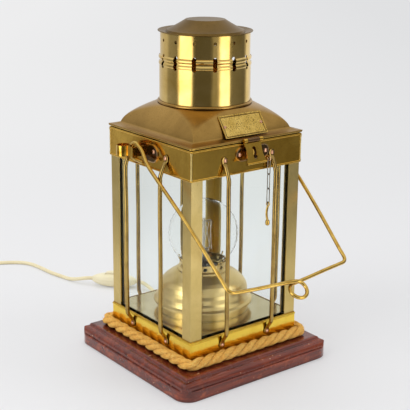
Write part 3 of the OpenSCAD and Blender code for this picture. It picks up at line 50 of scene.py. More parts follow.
# Sizes of the lamp in millimetres, as the model has them
FACE = 76.8
BASE_H = 24
TRAY_TOP = 52.7
BAND_BOTTOM = 234.2
BAND_TOP = 267.9
HOOD_Z = 270.2
ROPE_R = 6.5
PLATE_W = 58.5
PLATE_H = 26.2
CORD_R = 2.5


# Camera

AZIMUTH = math.radians(-38.05)
ELEVATION = math.radians(16.5666)
ROLL = math.radians(0.5441)
CAMERA_PLACE = (-0.70220, -0.89944, 0.51812)
LENS = 90.67
SENSOR = 36


def look_matrix():
    """The camera's axes and place, as solved from the photograph's edges."""
    back = Vector((math.sin(AZIMUTH) * math.cos(ELEVATION),
                   -math.cos(AZIMUTH) * math.cos(ELEVATION), math.sin(ELEVATION)))
    right = Vector((math.cos(AZIMUTH), math.sin(AZIMUTH), 0))
    up = back.cross(right)
    x = math.cos(ROLL) * right + math.sin(ROLL) * up
    y = -math.sin(ROLL) * right + math.cos(ROLL) * up
    m = Matrix((x, y, back)).transposed().to_4x4()
    m.translation = CAMERA_PLACE
    return m


camera_data = bpy.data.cameras.new("camera")
camera_data.lens = LENS
camera_data.sensor_width = SENSOR
camera = bpy.data.objects.new("camera", camera_data)
camera.matrix_world = look_matrix()
scene.collection.objects.link(camera)
scene.camera = camera


# Cord: one curve from the strain relief, through the switch, to the plug

def unit(v):
    return v / np.linalg.norm(v)


def between(p0, p1, p2, p3, t):
    """A point of the smooth curve between p1 and p2."""
    return 0.5 * (2 * p1 + (p2 - p0) * t + (2 * p0 - 5 * p1 + 4 * p2 - p3) * t * t
                  + (3 * p1 - p0 - 3 * p2 + p3) * t ** 3)


def smooth(points, steps):
    """Points of the smooth curve through all the given ones, steps to each gap."""
    p = [np.array(q, float) for q in points]
    last = len(p) - 1
    out = []
    for i in range(last):
        four = p[max(i - 1, 0)], p[i], p[i + 1], p[min(i + 2, last)]
        out += [between(*four, k / steps) for k in range(steps)]
    return out + [p[last]]


def ease(t):
    """0 up to t = 0, 1 from t = 1 on, and a soft step in between."""
    s = min(1.0, max(0.0, t))
    return s * s * (3 - 2 * s)


# Sizes of the cord's route, which is the one that the model's solids follow
SWITCH_LEN = 61
SWITCH_TURN = math.radians(132.5)
SWITCH_DIR = np.array([math.cos(SWITCH_TURN), math.sin(SWITCH_TURN), 0])
SWITCH_NEAR = np.array([48.1, 212.5, 9.5])
SWITCH_FAR = SWITCH_NEAR + SWITCH_LEN * SWITCH_DIR
CORD_EXIT = np.array([0, 129.4, 6.5])
LEAD_R = 24
LEAD_LAST_R = 25
LEAD_START = 136
DROP = 36
CLIMB = 42
RUN_BEFORE = 14
RUN_AFTER = 25
RUN = [[-5.5, 273], [-11.5, 290], [-16, 309], [-20, 331], [-22, 356], [-26, 378], [-37, 394],
       [-59, 408], [-84, 420]]
END_STRAIGHT = 1.5
COIL_TURNS = 7.35
COIL_PITCH = 5.42
COIL_HALF = COIL_TURNS / 2
COIL_INNER = 20
COIL_OUTER = COIL_INNER + COIL_HALF * COIL_PITCH
COIL_LAYER = 5.5
COIL_TAIL = 20
COIL_STEPS = 36
COIL_FROM = np.array([-106, 436, CORD_R])
COIL_HEADING = math.atan2(16, -22)


def arc(centre, r, a0, a1, n):
    """n + 1 points of an arc from a0 to a1 degrees."""
    turns = [math.radians(a0 + (a1 - a0) * i / n) for i in range(n + 1)]
    return [np.array([centre[0] + r * math.cos(a), centre[1] + r * math.sin(a)]) for a in turns]


def laid(plan, z0, drop, z1, climb):
    """Cord over a plan: it drops from z0 to the floor, and climbs to z1 before its end."""
    s = [0.0]
    for a, b in zip(plan, plan[1:]):
        s.append(s[-1] + float(np.linalg.norm(b - a)))
    out = []
    for p, d in zip(plan, s):
        z = CORD_R + (z0 - CORD_R) * (1 - ease((d - END_STRAIGHT) / drop))
        z += (z1 - CORD_R) * ease((d - s[-1] + climb + END_STRAIGHT) / climb)
        out.append(np.array([p[0], p[1], z]))
    return out


def lead_path():
    """Right, then left, then on to the switch."""
    last = SWITCH_TURN - math.pi / 2
    end = (SWITCH_NEAR - END_STRAIGHT * SWITCH_DIR)[:2]
    x = end[0] + LEAD_LAST_R * (1 - math.cos(last))
    y = end[1] - LEAD_LAST_R * math.sin(last)
    plan = [CORD_EXIT[:2], CORD_EXIT[:2] + np.array([0, END_STRAIGHT])]
    plan += arc((LEAD_R, LEAD_START), LEAD_R, 180, 90, 20)
    plan += arc((x - LEAD_R, LEAD_START + 2 * LEAD_R), LEAD_R, -90, 0, 20)
    plan += arc((x - LEAD_LAST_R, y), LEAD_LAST_R, 0, math.degrees(last), 12) + [SWITCH_NEAR[:2]]
    return laid(plan, CORD_EXIT[2], DROP, SWITCH_NEAR[2], CLIMB)


def run_path(steps=6):
    """From the switch along the floor to the coil."""
    out = SWITCH_DIR[:2]
    into = np.array([math.cos(COIL_HEADING), math.sin(COIL_HEADING)])
    start, end = SWITCH_FAR[:2], COIL_FROM[:2]
    line = smooth([start - RUN_BEFORE * out, start + END_STRAIGHT * out] + RUN
                  + [end - END_STRAIGHT * into, end + RUN_AFTER * into], steps)
    return laid([start] + line[steps:len(line) - steps] + [end], SWITCH_NEAR[2], CLIMB, CORD_R, 1)


def coil_path():
    """The reel of spare cord: in on the floor, out on top, then a straight tail to the plug."""
    along = np.array([math.cos(COIL_HEADING), math.sin(COIL_HEADING)])
    centre = COIL_FROM[:2] + 2 * CORD_R * along + COIL_OUTER * np.array([-along[1], along[0]])

    def point(u):
        a = COIL_HEADING - math.pi / 2 + 2 * math.pi * u
        r = COIL_OUTER - COIL_PITCH * min(u, COIL_TURNS - u)
        z = CORD_R + COIL_LAYER * ease((u - COIL_HALF + 0.25) * 2)
        return np.array([centre[0] + r * math.cos(a), centre[1] + r * math.sin(a), z])

    out = COIL_HEADING + 2 * math.pi * COIL_TURNS
    end = point(COIL_TURNS)
    turns = [point(i / COIL_STEPS) for i in range(int(COIL_STEPS * COIL_TURNS) + 1)]
    return [COIL_FROM] + turns + [end, end + COIL_TAIL * np.array([math.cos(out), math.sin(out), 0])]


def curve_piece(name, points, radius, sides=4, cyclic=False):
    """A round bar along points, given in millimetres. radius may be one number or one for each."""
    data = bpy.data.curves.new(name, "CURVE")
    data.dimensions = "3D"
    data.bevel_resolution = sides
    data.use_fill_caps = True
    spline = data.splines.new("POLY")
    spline.points.add(len(points) - 1)
    radii = radius if hasattr(radius, "__len__") else [radius] * len(points)
    data.bevel_depth = 1
    for sp, p, r in zip(spline.points, points, radii):
        sp.co = (*[c * MM for c in p], 1)
        sp.radius = r * MM
    spline.use_cyclic_u = cyclic
    spline.use_smooth = True
    piece = bpy.data.objects.new(name, data)
    scene.collection.objects.link(piece)
    return piece


cord = curve_piece("mains_cord", lead_path() + run_path() + coil_path()[1:], CORD_R, 5)
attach(cord, "lantern")
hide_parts("cord_lead", "cord_run", "cord_coil")


# Materials

class Graph:
    """A material's nodes. Each method adds one node and gives back its main output."""

    def __init__(self, name):
        self.mat = bpy.data.materials.new(name)
        self.mat.use_nodes = True
        self.tree = self.mat.node_tree
        self.shader = self.tree.nodes["Principled BSDF"]
        self.spot = self.node("ShaderNodeTexCoord").outputs["Object"]

    def node(self, kind, **values):
        n = self.tree.nodes.new(kind)
        for key, value in values.items():
            setattr(n, key, value)
        return n

    def put(self, socket, value):
        if isinstance(value, bpy.types.NodeSocket):
            self.tree.links.new(value, socket)
        elif hasattr(value, "__len__") and len(value) == 3 and socket.type == "RGBA":
            socket.default_value = (*value, 1)
        else:
            socket.default_value = value

    def set(self, **values):
        """Sets or links the shader's sockets: base_color= is the socket Base Color."""
        for key, value in values.items():
            label = key.replace("_", " ").title().replace("Ior", "IOR")
            self.put(self.shader.inputs[label], value)

    def scaled(self, scale):
        m = self.node("ShaderNodeMapping")
        m.inputs["Scale"].default_value = scale
        self.put(m.inputs["Vector"], self.spot)
        return m.outputs[0]

    def noise(self, scale, detail=3, rough=0.5, place=None, warp=0):
        """Clouds from 0 to 1. place is where they are read, and warp bends them."""
        n = self.node("ShaderNodeTexNoise")
        self.put(n.inputs["Vector"], place or self.spot)
        self.put(n.inputs["Scale"], scale)
        self.put(n.inputs["Detail"], detail)
        self.put(n.inputs["Roughness"], rough)
        self.put(n.inputs["Distortion"], warp)
        return n.outputs["Fac"]

    def cells(self, scale):
        n = self.node("ShaderNodeTexVoronoi")
        self.put(n.inputs["Vector"], self.spot)
        self.put(n.inputs["Scale"], scale)
        return n.outputs["Distance"]

    def ramp(self, fac, *stops):
        """stops are (place, value or colour)."""
        n = self.node("ShaderNodeValToRGB")
        e = n.color_ramp.elements
        while len(e) < len(stops):
            e.new(0.5)
        for item, (place, value) in zip(e, stops):
            item.position = place
            item.color = (*value, 1) if hasattr(value, "__len__") else (value, value, value, 1)
        self.put(n.inputs[0], fac)
        return n.outputs[0]

    def mix(self, fac, a, b):
        """Colour a where fac is 0, and b where it is 1."""
        n = self.node("ShaderNodeMix", data_type="RGBA")
        self.put(n.inputs["Factor"], fac)
        self.put(n.inputs[6], a)
        self.put(n.inputs[7], b)
        return n.outputs[2]

    def math(self, how, a, b=0.0, c=0.0):
        n = self.node("ShaderNodeMath", operation=how)
        for socket, value in zip(n.inputs, (a, b, c)):
            self.put(socket, value)
        return n.outputs[0]

    def length(self, a, b):
        """Distance from 0 of the point (a, b)."""
        squares = [self.math("MULTIPLY", v, v) for v in (a, b)]
        return self.math("SQRT", self.math("ADD", *squares))

    def split(self, vector=None):
        n = self.node("ShaderNodeSeparateXYZ")
        self.put(n.inputs[0], vector or self.spot)
        return n.outputs

    def shut_in(self, distance):
        """1 in the open, towards 0 in corners and creases."""
        n = self.node("ShaderNodeAmbientOcclusion", samples=6)
        n.inputs["Distance"].default_value = distance
        return n.outputs["AO"]

    def bump(self, height, strength, depth):
        """A surface direction from a height of 0 to 1 that stands for depth in metres."""
        n = self.node("ShaderNodeBump")
        self.put(n.inputs["Height"], height)
        self.put(n.inputs["Strength"], strength)
        self.put(n.inputs["Distance"], depth)
        return n.outputs[0]


def brass(name, light, dark, dull, spread, patch=18, streak=(900, 900, 60), tarnish=0.5,
          grime=0.004, wave=0.0004, spots=0.45):
    """Sheet or wire metal: uneven tarnish, fine rubbing marks, creases darkened by dirt and painted shade, a
    slightly wavy face.

    dull and spread are the roughness and its range, patch is how fine the tarnish is and tarnish how
    much there is of it, streak the marks' direction, grime the width in metres of creases
    darkened by dirt and painted shade, wave the depth of the face's waves and spots the strength of small
    dark specks."""
    g = Graph(name)
    clouds = g.noise(patch, 5, 0.6, warp=0.6)
    marks = g.noise(1, 6, 0.65, g.scaled(streak))
    specks = g.noise(420, 4, 0.7)
    stained = g.ramp(clouds, (0.5 - tarnish / 3, 0), (0.5 + tarnish / 2.2, 1))
    color = g.mix(stained, light, dark)
    color = g.mix(g.ramp(specks, (0.55, 0), (0.72, spots)), color, [c * 0.5 for c in dark])
    # Ambient occlusion darkens the creases towards the tarnish colour: partly dirt, partly painted shade.
    if grime:
        dirty_shaded_creases = g.ramp(g.shut_in(grime), (0.25, 1), (0.8, 0))
        color = g.mix(dirty_shaded_creases, color, [c * 0.3 for c in dark])
    uneven = g.math("ADD", marks, g.math("MULTIPLY", stained, 0.6))
    rough = g.math("MULTIPLY_ADD", uneven, spread, dull - spread / 2)
    height = g.math("MULTIPLY_ADD", g.noise(26, 2, 0.4), 1.0, g.math("MULTIPLY", marks, 0.02))
    g.set(base_color=color, metallic=1.0, roughness=rough, normal=g.bump(height, 1.0, wave))
    return g.mat


GOLD = (0.90, 0.56, 0.10)
GOLD_DARK = (0.54, 0.29, 0.03)
# Clean and tarnished colour, roughness and its range, and what else differs
METALS = {
    "brass": (GOLD, GOLD_DARK, 0.11, 0.10, {}),
    "chimney_brass": ((0.94, 0.67, 0.24), (0.66, 0.42, 0.09), 0.10, 0.08,
                      {"streak": (60, 60, 1400), "spots": 0.22}),
    "post_brass": ((0.80, 0.62, 0.26), (0.52, 0.37, 0.10), 0.27, 0.16,
                   {"patch": 20, "grime": 0, "spots": 0.2, "tarnish": 0.9}),
    "wire_brass": ((0.84, 0.56, 0.14), (0.52, 0.30, 0.05), 0.15, 0.12, {"patch": 60}),
    # Painted shade: the rods' brass is a darker copy of the bail wire's, standing for their shaded sides.
    "rod_brass": ((0.54, 0.37, 0.11), (0.28, 0.17, 0.05), 0.14, 0.12, {"patch": 40}),
    "bright_brass": ((1.0, 0.72, 0.11), (0.90, 0.58, 0.06), 0.13, 0.1, {"patch": 30, "grime": 0.0012}),
    "aged_brass": ((0.60, 0.36, 0.10), (0.24, 0.13, 0.028), 0.27, 0.14,
                   {"patch": 13, "tarnish": 0.7, "spots": 0.3}),
    "cap_brass": ((0.28, 0.17, 0.05), (0.15, 0.09, 0.025), 0.34, 0.14, {"tarnish": 0.8}),
    "dark_brass": ((0.26, 0.15, 0.06), (0.12, 0.06, 0.03), 0.2, 0.2, {"patch": 90}),
    "font_brass": ((0.90, 0.69, 0.31), (0.74, 0.54, 0.20), 0.30, 0.1,
                   {"patch": 20, "streak": (60, 60, 1500), "spots": 0.1, "wave": 0.0001}),
    "copper": ((0.86, 0.50, 0.33), (0.58, 0.28, 0.15), 0.22, 0.2, {"patch": 200}),
    "steel": ((0.42, 0.38, 0.32), (0.20, 0.16, 0.12), 0.3, 0.2, {"patch": 200}),
    "filament": ((0.7, 0.66, 0.58), (0.5, 0.46, 0.4), 0.3, 0.1, {"patch": 100, "grime": 0}),
    "grey_metal": ((0.72, 0.62, 0.38), (0.54, 0.46, 0.25), 0.14, 0.12,
                   {"patch": 16, "grime": 0, "spots": 0.2}),
    "cap_metal": ((0.66, 0.66, 0.63), (0.45, 0.45, 0.42), 0.28, 0.1, {"patch": 60}),
}
MATS = {name: brass(name, *values, **more) for name, (*values, more) in METALS.items()}


def wood():
    """Dark red varnish over a grained board, worn to orange red low down, with a few pale chips and painted
    shade in its hollows.
    """
    g = Graph("wood")
    z = g.split()[2]
    grain = g.noise(1, 6, 0.62, g.scaled((14, 90, 260)), 0.4)
    fine = g.noise(1, 4, 0.7, g.scaled((40, 700, 900)))
    color = g.ramp(grain, (0.3, (0.07, 0.010, 0.005)), (0.52, (0.19, 0.027, 0.010)),
                   (0.75, (0.40, 0.070, 0.018)))
    color = g.mix(g.ramp(fine, (0.42, 0.4), (0.6, 0)), color, (0.05, 0.010, 0.006))
    worn = g.ramp(g.noise(34, 5, 0.62, warp=0.8), (0.56, 0), (0.66, 1))
    low = g.ramp(z, (0.0125, 1), (0.0135, 0))
    worn = g.math("MULTIPLY", worn, g.math("MULTIPLY_ADD", low, 0.5, 0.25))
    color = g.mix(worn, color, (0.42, 0.085, 0.022))
    # Painted shade: the board turns near black where it is shut in, in corners and under the mouldings.
    dark = g.ramp(g.shut_in(0.006), (0.3, 1), (0.85, 0))
    color = g.mix(g.math("MULTIPLY", dark, 0.6), color, (0.02, 0.006, 0.004))
    chips = g.ramp(g.noise(230, 2, 0.4), (0.735, 0), (0.75, 1))
    color = g.mix(g.math("MULTIPLY", chips, 0.8), color, (0.62, 0.36, 0.20))
    rough = g.math("MULTIPLY_ADD", g.noise(60, 4, 0.6), 0.3, 0.10)
    height = g.math("MULTIPLY_ADD", fine, 0.25, g.math("MULTIPLY", grain, 0.5))
    g.set(base_color=color, roughness=rough, specular_ior_level=0.3, coat_weight=0.8, coat_roughness=0.07,
          normal=g.bump(height, 0.4, 0.0003))
    return g.mat


def rope():
    """Orange straw fibre, with painted shade brown where the strands meet."""
    g = Graph("rope")
    fibre = g.noise(620, 6, 0.85, warp=1.5)
    color = g.ramp(fibre, (0.36, (0.52, 0.19, 0.02)), (0.46, (1.0, 0.48, 0.075)), (0.62, (1.0, 0.80, 0.26)))
    color = g.mix(g.ramp(g.noise(60, 3), (0.4, 0), (0.65, 0.3)), color, (0.94, 0.42, 0.05))
    # Painted shade: brown where the strands shut each other in.
    strand_gap_shade = g.ramp(g.shut_in(0.005), (0.15, 1), (0.85, 0))
    color = g.mix(g.math("MULTIPLY", strand_gap_shade, 0.8), color, (0.30, 0.10, 0.015))
    g.set(base_color=color, roughness=0.8, normal=g.bump(fibre, 1.0, 0.0011))
    return g.mat


def plastic(name, light, dark, rough, grain=900):
    """Old cream plastic: faintly mottled, with a fine skin and painted shade in its seams."""
    g = Graph(name)
    color = g.mix(g.ramp(g.noise(30, 4), (0.4, 0), (0.7, 1)), light, dark)
    # Painted shade: darker brown where seams and creases are shut in.
    color = g.mix(g.ramp(g.shut_in(0.002), (0.2, 0.7), (0.7, 0)), color, (0.30, 0.22, 0.10))
    skin = g.noise(grain, 3, 0.6)
    g.set(base_color=color, roughness=g.math("MULTIPLY_ADD", skin, 0.2, rough - 0.1),
          normal=g.bump(skin, 0.25, 0.0001))
    return g.mat


def glass(name, tint, smears, ior):
    """Clear glass with faint smears, and a low ior so that it hardly mirrors the room."""
    g = Graph(name)
    haze = g.ramp(g.noise(22, 5, 0.6, warp=1.2), (0.45, 0.0), (0.8, smears))
    g.set(base_color=tint, transmission_weight=1.0, ior=ior, roughness=haze)
    return g.mat


PLASTICS = {
    "cord_plastic": ((0.86, 0.77, 0.50), (0.80, 0.69, 0.42), 0.42),
    "cream_plastic": ((0.90, 0.83, 0.58), (0.85, 0.76, 0.48), 0.3),
    "porcelain": ((0.80, 0.77, 0.68), (0.72, 0.68, 0.58), 0.16, 200),
    "dark_metal": ((0.05, 0.045, 0.04), (0.03, 0.027, 0.024), 0.5),
}
MATS["wood"] = wood()
MATS["rope"] = rope()
MATS.update({name: plastic(name, *values) for name, values in PLASTICS.items()})
MATS["pane_glass"] = glass("pane_glass", (0.96, 0.985, 0.975), 0.02, 1.2)
MATS["bulb_glass"] = glass("bulb_glass", (0.99, 0.995, 0.99), 0.01, 1.06)

slots = {s["node"]: s["material_slot"] for s in frame["record"]["subparts"]}


def leaf_brass(name, axis, centre, half_len, half_h, sheet=None):
    """Dark, mirror-like leaf with a painted coppery highlight round its edges. Past the plane sheet it is
    plain brass.
    """
    g = Graph(name)
    xyz = g.split()
    along = g.math("ABSOLUTE", g.math("SUBTRACT", xyz[axis], centre[0] * MM))
    along = g.math("MAXIMUM", g.math("SUBTRACT", along, (half_len - half_h) * MM), 0.0)
    far = g.length(along, g.math("SUBTRACT", xyz[2], centre[1] * MM))
    # Painted highlight: a bright coppery band round the leaf's edge, with a slightly wavering inner line.
    wobble = g.math("MULTIPLY_ADD", g.noise(260, 3), 0.12, -0.06)
    edge = g.ramp(g.math("ADD", g.math("DIVIDE", far, half_h * MM), wobble), (0.83, 0), (0.93, 1))
    clouds = g.noise(70, 5, 0.6, warp=0.8)
    ground = g.ramp(clouds, (0.3, (0.09, 0.05, 0.022)), (0.6, (0.17, 0.10, 0.04)),
                    (0.75, (0.40, 0.24, 0.09)))
    color = g.mix(edge, ground, (0.88, 0.58, 0.30))
    if sheet:
        out = g.math("ABSOLUTE", xyz[1 - axis])
        past = g.math("GREATER_THAN", out, sheet * MM)
        color = g.mix(past, color, g.ramp(clouds, (0.35, GOLD_DARK), (0.6, GOLD)))
    rough = g.math("MULTIPLY_ADD", g.noise(300, 4), 0.2, 0.06)
    g.set(base_color=color, metallic=1.0, roughness=rough, normal=g.bump(g.noise(60, 3), 1.0, 0.0004))
    return g.mat


def name_plate_brass():
    """Bare plate: a stippled ground with dark pits, rubbed bright on top, and a line round its edge."""
    g = Graph("name_plate_brass")
    xyz = g.split()
    low, high = nodes["name_plate"].bound_box[0], nodes["name_plate"].bound_box[6]
    inset = []
    for axis, half in ((0, PLATE_W / 2), (2, PLATE_H / 2)):
        off = g.math("ABSOLUTE", g.math("SUBTRACT", xyz[axis], (low[axis] + high[axis]) / 2))
        inset.append(g.math("MULTIPLY_ADD", off, -2 * half / (high[axis] - low[axis]), half))
    line = g.ramp(g.math("DIVIDE", g.math("MINIMUM", *inset), PLATE_H / 2),
                  (0.10, 0), (0.13, 1), (0.17, 1), (0.20, 0))
    stipple = g.cells(620)
    pits = g.ramp(stipple, (0.16, 1), (0.42, 0))
    rubbed = g.noise(60, 4, 0.6)
    color = g.mix(g.ramp(rubbed, (0.35, 0), (0.65, 1)), (0.95, 0.66, 0.18), (0.66, 0.43, 0.09))
    patchy = g.math("MULTIPLY", pits, g.ramp(g.noise(150, 3), (0.42, 0.3), (0.6, 1)))
    color = g.mix(patchy, color, (0.10, 0.055, 0.015))
    color = g.mix(g.math("MULTIPLY", line, 0.8), color, (0.06, 0.03, 0.01))
    g.set(base_color=color, metallic=1.0, roughness=g.math("MULTIPLY_ADD", rubbed, 0.2, 0.2),
          normal=g.bump(g.math("SUBTRACT", stipple, line), 0.9, 0.0005))
    return g.mat


MATS["bracket_brass"] = leaf_brass("bracket_brass", 1, (-3, 252), 15, 10, 78.2)
MATS["staple_brass"] = leaf_brass("staple_brass", 0, (5.5, 255.5), 22.9, 7.75)
MATS["name_plate_brass"] = name_plate_brass()

# Nodes that look other than their slot's material
LOOKS = {
    "chimney": "chimney_brass", "cap": "cap_brass", "left_bracket": "bracket_brass",
    "right_bracket": "bracket_brass", "staple_plate": "staple_brass", "name_plate": "name_plate_brass",
}
LOOKS.update({n: "post_brass" for n in nodes if n.endswith("_post")})
for name, obj in nodes.items():
    obj.data.materials.clear()
    obj.data.materials.append(MATS[LOOKS.get(name, slots[name])])
cord.data.materials.append(MATS["cord_plastic"])


# Mesh pieces

def mesh_piece(name, verts, faces, mat, body, replaces):
    """A smooth mesh from points in millimetres, with its material, body and the nodes it stands for."""
    data = bpy.data.meshes.new(name)
    data.from_pydata([[c * MM for c in v] for v in verts], [], faces)
    data.validate()
    bm = bmesh.new()
    bm.from_mesh(data)
    bmesh.ops.recalc_face_normals(bm, faces=bm.faces)
    bm.to_mesh(data)
    bm.free()
    data.polygons.foreach_set("use_smooth", [True] * len(data.polygons))
    data.materials.append(MATS[mat])
    piece = bpy.data.objects.new(name, data)
    scene.collection.objects.link(piece)
    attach(piece, body)
    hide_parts(*replaces)


def loft_faces(rows, n, closed=False):
    """Side faces between rows of n points, and both ends where the rows don't close."""
    faces = []
    for k in range(rows if closed else rows - 1):
        for i in range(n):
            j = (i + 1) % n
            a, b = k * n, (k + 1) % rows * n
            faces.append([a + i, a + j, b + j, b + i])
    if not closed:
        faces.append(list(range(n))[::-1])
        faces.append([(rows - 1) * n + i for i in range(n)])
    return faces


# Rope: three strands laid round the foot of the case

ROPE_LAY = 47
ROPE_STEP = 1.3
STRAND_R = 3.65
YARN_RISE = 0.55
STRAND_OFF = 2.95
STRAND_SIDES = 42
FIBRES = 1000
FIBRE_R = 0.15


def rope_line(step):
    """Middle line round the case as (point, outward direction, way from the start), and its length."""
    half = FACE + 0.3 + ROPE_R
    corner = (math.sqrt(2) * (half - FACE) - ROPE_R - 0.15) / (math.sqrt(2) - 1)
    core = half - corner
    side = 2 * core
    quarter = side + math.pi * corner / 2
    count = int(4 * quarter / step)
    out = []
    for i in range(count):
        s = i * 4 * quarter / count
        q, t = divmod(s, quarter)
        turn = math.pi / 2 * q
        if t < side:
            p, a = np.array([half, t - core]), 0
        else:
            a = (t - side) / corner
            p = np.array([core + corner * math.cos(a), core + corner * math.sin(a)])
        c, d = math.cos(turn), math.sin(turn)
        p = np.array([c * p[0] - d * p[1], d * p[0] + c * p[1], BASE_H + ROPE_R])
        out.append((p, np.array([math.cos(a + turn), math.sin(a + turn), 0]), s))
    return out, 4 * quarter


def rope_strands():
    """Three strands of twisted yarn, each a little uneven, flat where they lie on the base."""
    line, length = rope_line(ROPE_STEP)
    turns = round(length / ROPE_LAY)
    up = np.array([0, 0, 1])
    n = STRAND_SIDES
    rng = random.Random(3)
    verts, faces = [], []
    for strand in range(3):
        first = len(verts)
        centres = []
        for p, out, s in line:
            a = 2 * math.pi * (turns * s / length + strand / 3)
            a += 0.16 * math.sin(s / 23 + 2 * strand) + 0.08 * math.sin(s / 7.7 + strand)
            centres.append((p + STRAND_OFF * (math.cos(a) * out + math.sin(a) * up), out, s))
        m = len(centres)
        for i, (c, out, s) in enumerate(centres):
            t = unit(centres[(i + 1) % m][0] - centres[i - 1][0])
            u = unit(out - (out @ t) * t)
            w = np.cross(t, u)
            for k in range(n):
                b = 2 * math.pi * k / n
                yarn = 1 + 0.15 * abs(math.cos(4 * b - 46 * math.pi * s / length))
                wild = 1 + 0.03 * math.sin(0.9 * s + 3 * strand) * math.sin(2 * b + s / 7)
                r = (STRAND_R - YARN_RISE) * yarn * wild * rng.uniform(0.95, 1.05)
                verts.append(c + r * (math.cos(b) * u + math.sin(b) * w))
        faces += [[first + j for j in f] for f in loft_faces(m, n, True)]
    verts = [[v[0], v[1], max(v[2], BASE_H + 0.05)] for v in verts]
    mesh_piece("laid_rope", verts, faces, "rope", "lantern", ["rope_trim"])


rope_strands()


def rope_fuzz():
    """Loose fibres that stand up from the rope."""
    rng = random.Random(7)
    line, _ = rope_line(ROPE_STEP)
    data = bpy.data.curves.new("rope_fuzz", "CURVE")
    data.dimensions = "3D"
    data.bevel_depth = 1
    data.bevel_resolution = 0
    for _ in range(FIBRES):
        p, out, _ = line[rng.randrange(len(line))]
        along = np.array([-out[1], out[0], 0])
        a = math.radians(rng.uniform(-10, 100))
        away = math.cos(a) * out + math.sin(a) * np.array([0, 0, 1])
        start = p + (ROPE_R - 0.7) * away
        way = unit(0.7 * away + rng.uniform(-1.6, 1.6) * along)
        droop = np.array([0, 0, rng.uniform(-0.5, 0.3)])
        size = rng.uniform(1.2, 3.4)
        spline = data.splines.new("POLY")
        spline.points.add(3)
        for k, sp in enumerate(spline.points):
            t = k / 3
            q = start + size * (t * way + t * t * droop)
            sp.co = (q[0] * MM, q[1] * MM, max(q[2], BASE_H + 0.2) * MM, 1)
            sp.radius = FIBRE_R * MM * (1.1 - 0.7 * t)
    piece = bpy.data.objects.new("rope_fuzz", data)
    scene.collection.objects.link(piece)
    data.materials.append(MATS["rope"])
    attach(piece, "lantern")


rope_fuzz()


# Guard rods: smooth wire with its ends hammered flat

ROD_R = 2.4
ROD_Y = 85.2
ROD_SPREAD = 33
EYE_R = 4
EYE_T = 1.6
ROD_EYE_Z = 252
ROD_FOOT_Z = 40.5
ROD_SIDES = 20
# Height and distance from the middle, where a rod leaves the case and where it comes back
ROD_FOOT = [(ROD_FOOT_Z + 6, FACE + 2.5), (ROD_FOOT_Z + 9.2, FACE + 4.6), (ROD_FOOT_Z + 13, ROD_Y - 1),
            (ROD_FOOT_Z + 16.5, ROD_Y)]
ROD_HEAD = [(BAND_BOTTOM - 3.2, ROD_Y), (BAND_BOTTOM + 0.3, ROD_Y - 0.9),
            (BAND_BOTTOM + 6.3, FACE + 5.2), (ROD_EYE_Z - 6, FACE + 2.5)]
# Between eye and wire: way from the rivet, way out, half width, half thickness, roundness
ROD_NECK = [(2.5, 0, EYE_R - 0.5, EYE_T / 2, 0.6), (3.8, 0.3, 3.1, EYE_T / 2 + 0.2, 0.7),
            (4.8, 0.9, 2.7, EYE_T / 2 + 0.6, 0.8)]
# Which face of the lamp, counted from the front by way of the right, and which half of it
RODS = {
    "front_rod_left": (0, -1), "front_rod_right": (0, 1), "right_rod_front": (1, -1),
    "right_rod_back": (1, 1), "back_rod_left": (2, 1), "back_rod_right": (2, -1),
    "left_rod_front": (3, 1), "left_rod_back": (3, -1),
}


def rod_row(z, y, w, t, square):
    """One section of a rod: half width w, half thickness t, more square as square falls below 1."""
    out = []
    for k in range(ROD_SIDES):
        a = 2 * math.pi * (k + 0.5) / ROD_SIDES
        c, d = math.cos(a), math.sin(a)
        x = w * math.copysign(abs(c) ** square, c)
        out.append([x, -y + t * math.copysign(abs(d) ** square, d), z])
    return out


def rod_eye(z, up):
    """Flat end round the rivet at height z and the neck next to it, above for up = 1, below for -1."""
    y = FACE + EYE_T / 2
    tip = []
    for a in (12, 25, 40, 55, 72, 90):
        a = math.radians(a)
        tip.append((z - up * EYE_R * math.cos(a), y, EYE_R * math.sin(a), EYE_T / 2, 0.55))
    return tip + [(z + up * rise, y + out, w, t, square) for rise, out, w, t, square in ROD_NECK]


def guard_rod(name, side, s):
    """A rod on one face, seen from outside in its left half (s = -1) or right half (s = 1).

    It is bent by hand, so it wavers a little."""
    middle = [(z, ROD_Y + 0.25 * math.sin(z / 19 + side + s)) for z in range(62, 230, 8)]
    shaft = [(z, y, ROD_R, ROD_R, 1) for z, y in smooth(ROD_FOOT, 3) + middle + smooth(ROD_HEAD, 3)]
    rows = rod_eye(ROD_FOOT_Z, 1) + shaft + rod_eye(ROD_EYE_Z, -1)[::-1]
    turn = math.pi / 2 * side
    c, d = math.cos(turn), math.sin(turn)
    verts = []
    for row in rows:
        for x, y, z in rod_row(*row):
            x += s * ROD_SPREAD
            verts.append([c * x - d * y, d * x + c * y, z])
    faces = loft_faces(len(rows), ROD_SIDES)
    mesh_piece(name + "_wire", verts, faces, "rod_brass", "lantern", [name])


for rod, (side, s) in RODS.items():
    guard_rod(rod, side, s)


# Bail: one wire with an eye hooked round each strap and a loop in the middle

PIVOT = np.array([0, 7.7, 253.6])
BAIL_REST = math.radians(39.4)
BAIL_R = 2.1
BAIL_HALF = 89
BAIL_ARM = 196.6
BAIL_TAIL = (-17.5, 1.5)
# Distance along the arm, and how far the wire is off a straight line there
BAIL_BEND = [(5, 0.9), (10, 0.8), (16, -0.3), (22, -1.5), (29, -1.9), (38, -1.2), (54, 0.2), (75, 2.4),
             (95, 3), (115, 3), (135, 2.6), (155, 1.8), (180, 0.7)]
BAIL_EYE = 9
BAIL_EYE_STEPS = 30
BAIL_CORNER = 83.5
BAIL_CORNER_CUT = 8
# The arm steps out past the rods just after its eye, then comes in towards its corner
BAIL_SET = ROD_Y + ROD_R + BAIL_R + 0.3 - BAIL_HALF
BAIL_SET_FROM = 8
BAIL_SET_OVER = 22
BAIL_TAPER_FROM = 75
BAIL_TAPER_LEFT = 12
BAIL_BOW = 7.5
LOOP_R = 9.5
LOOP_STEPS = 48
CROSS = BAIL_R + 0.4


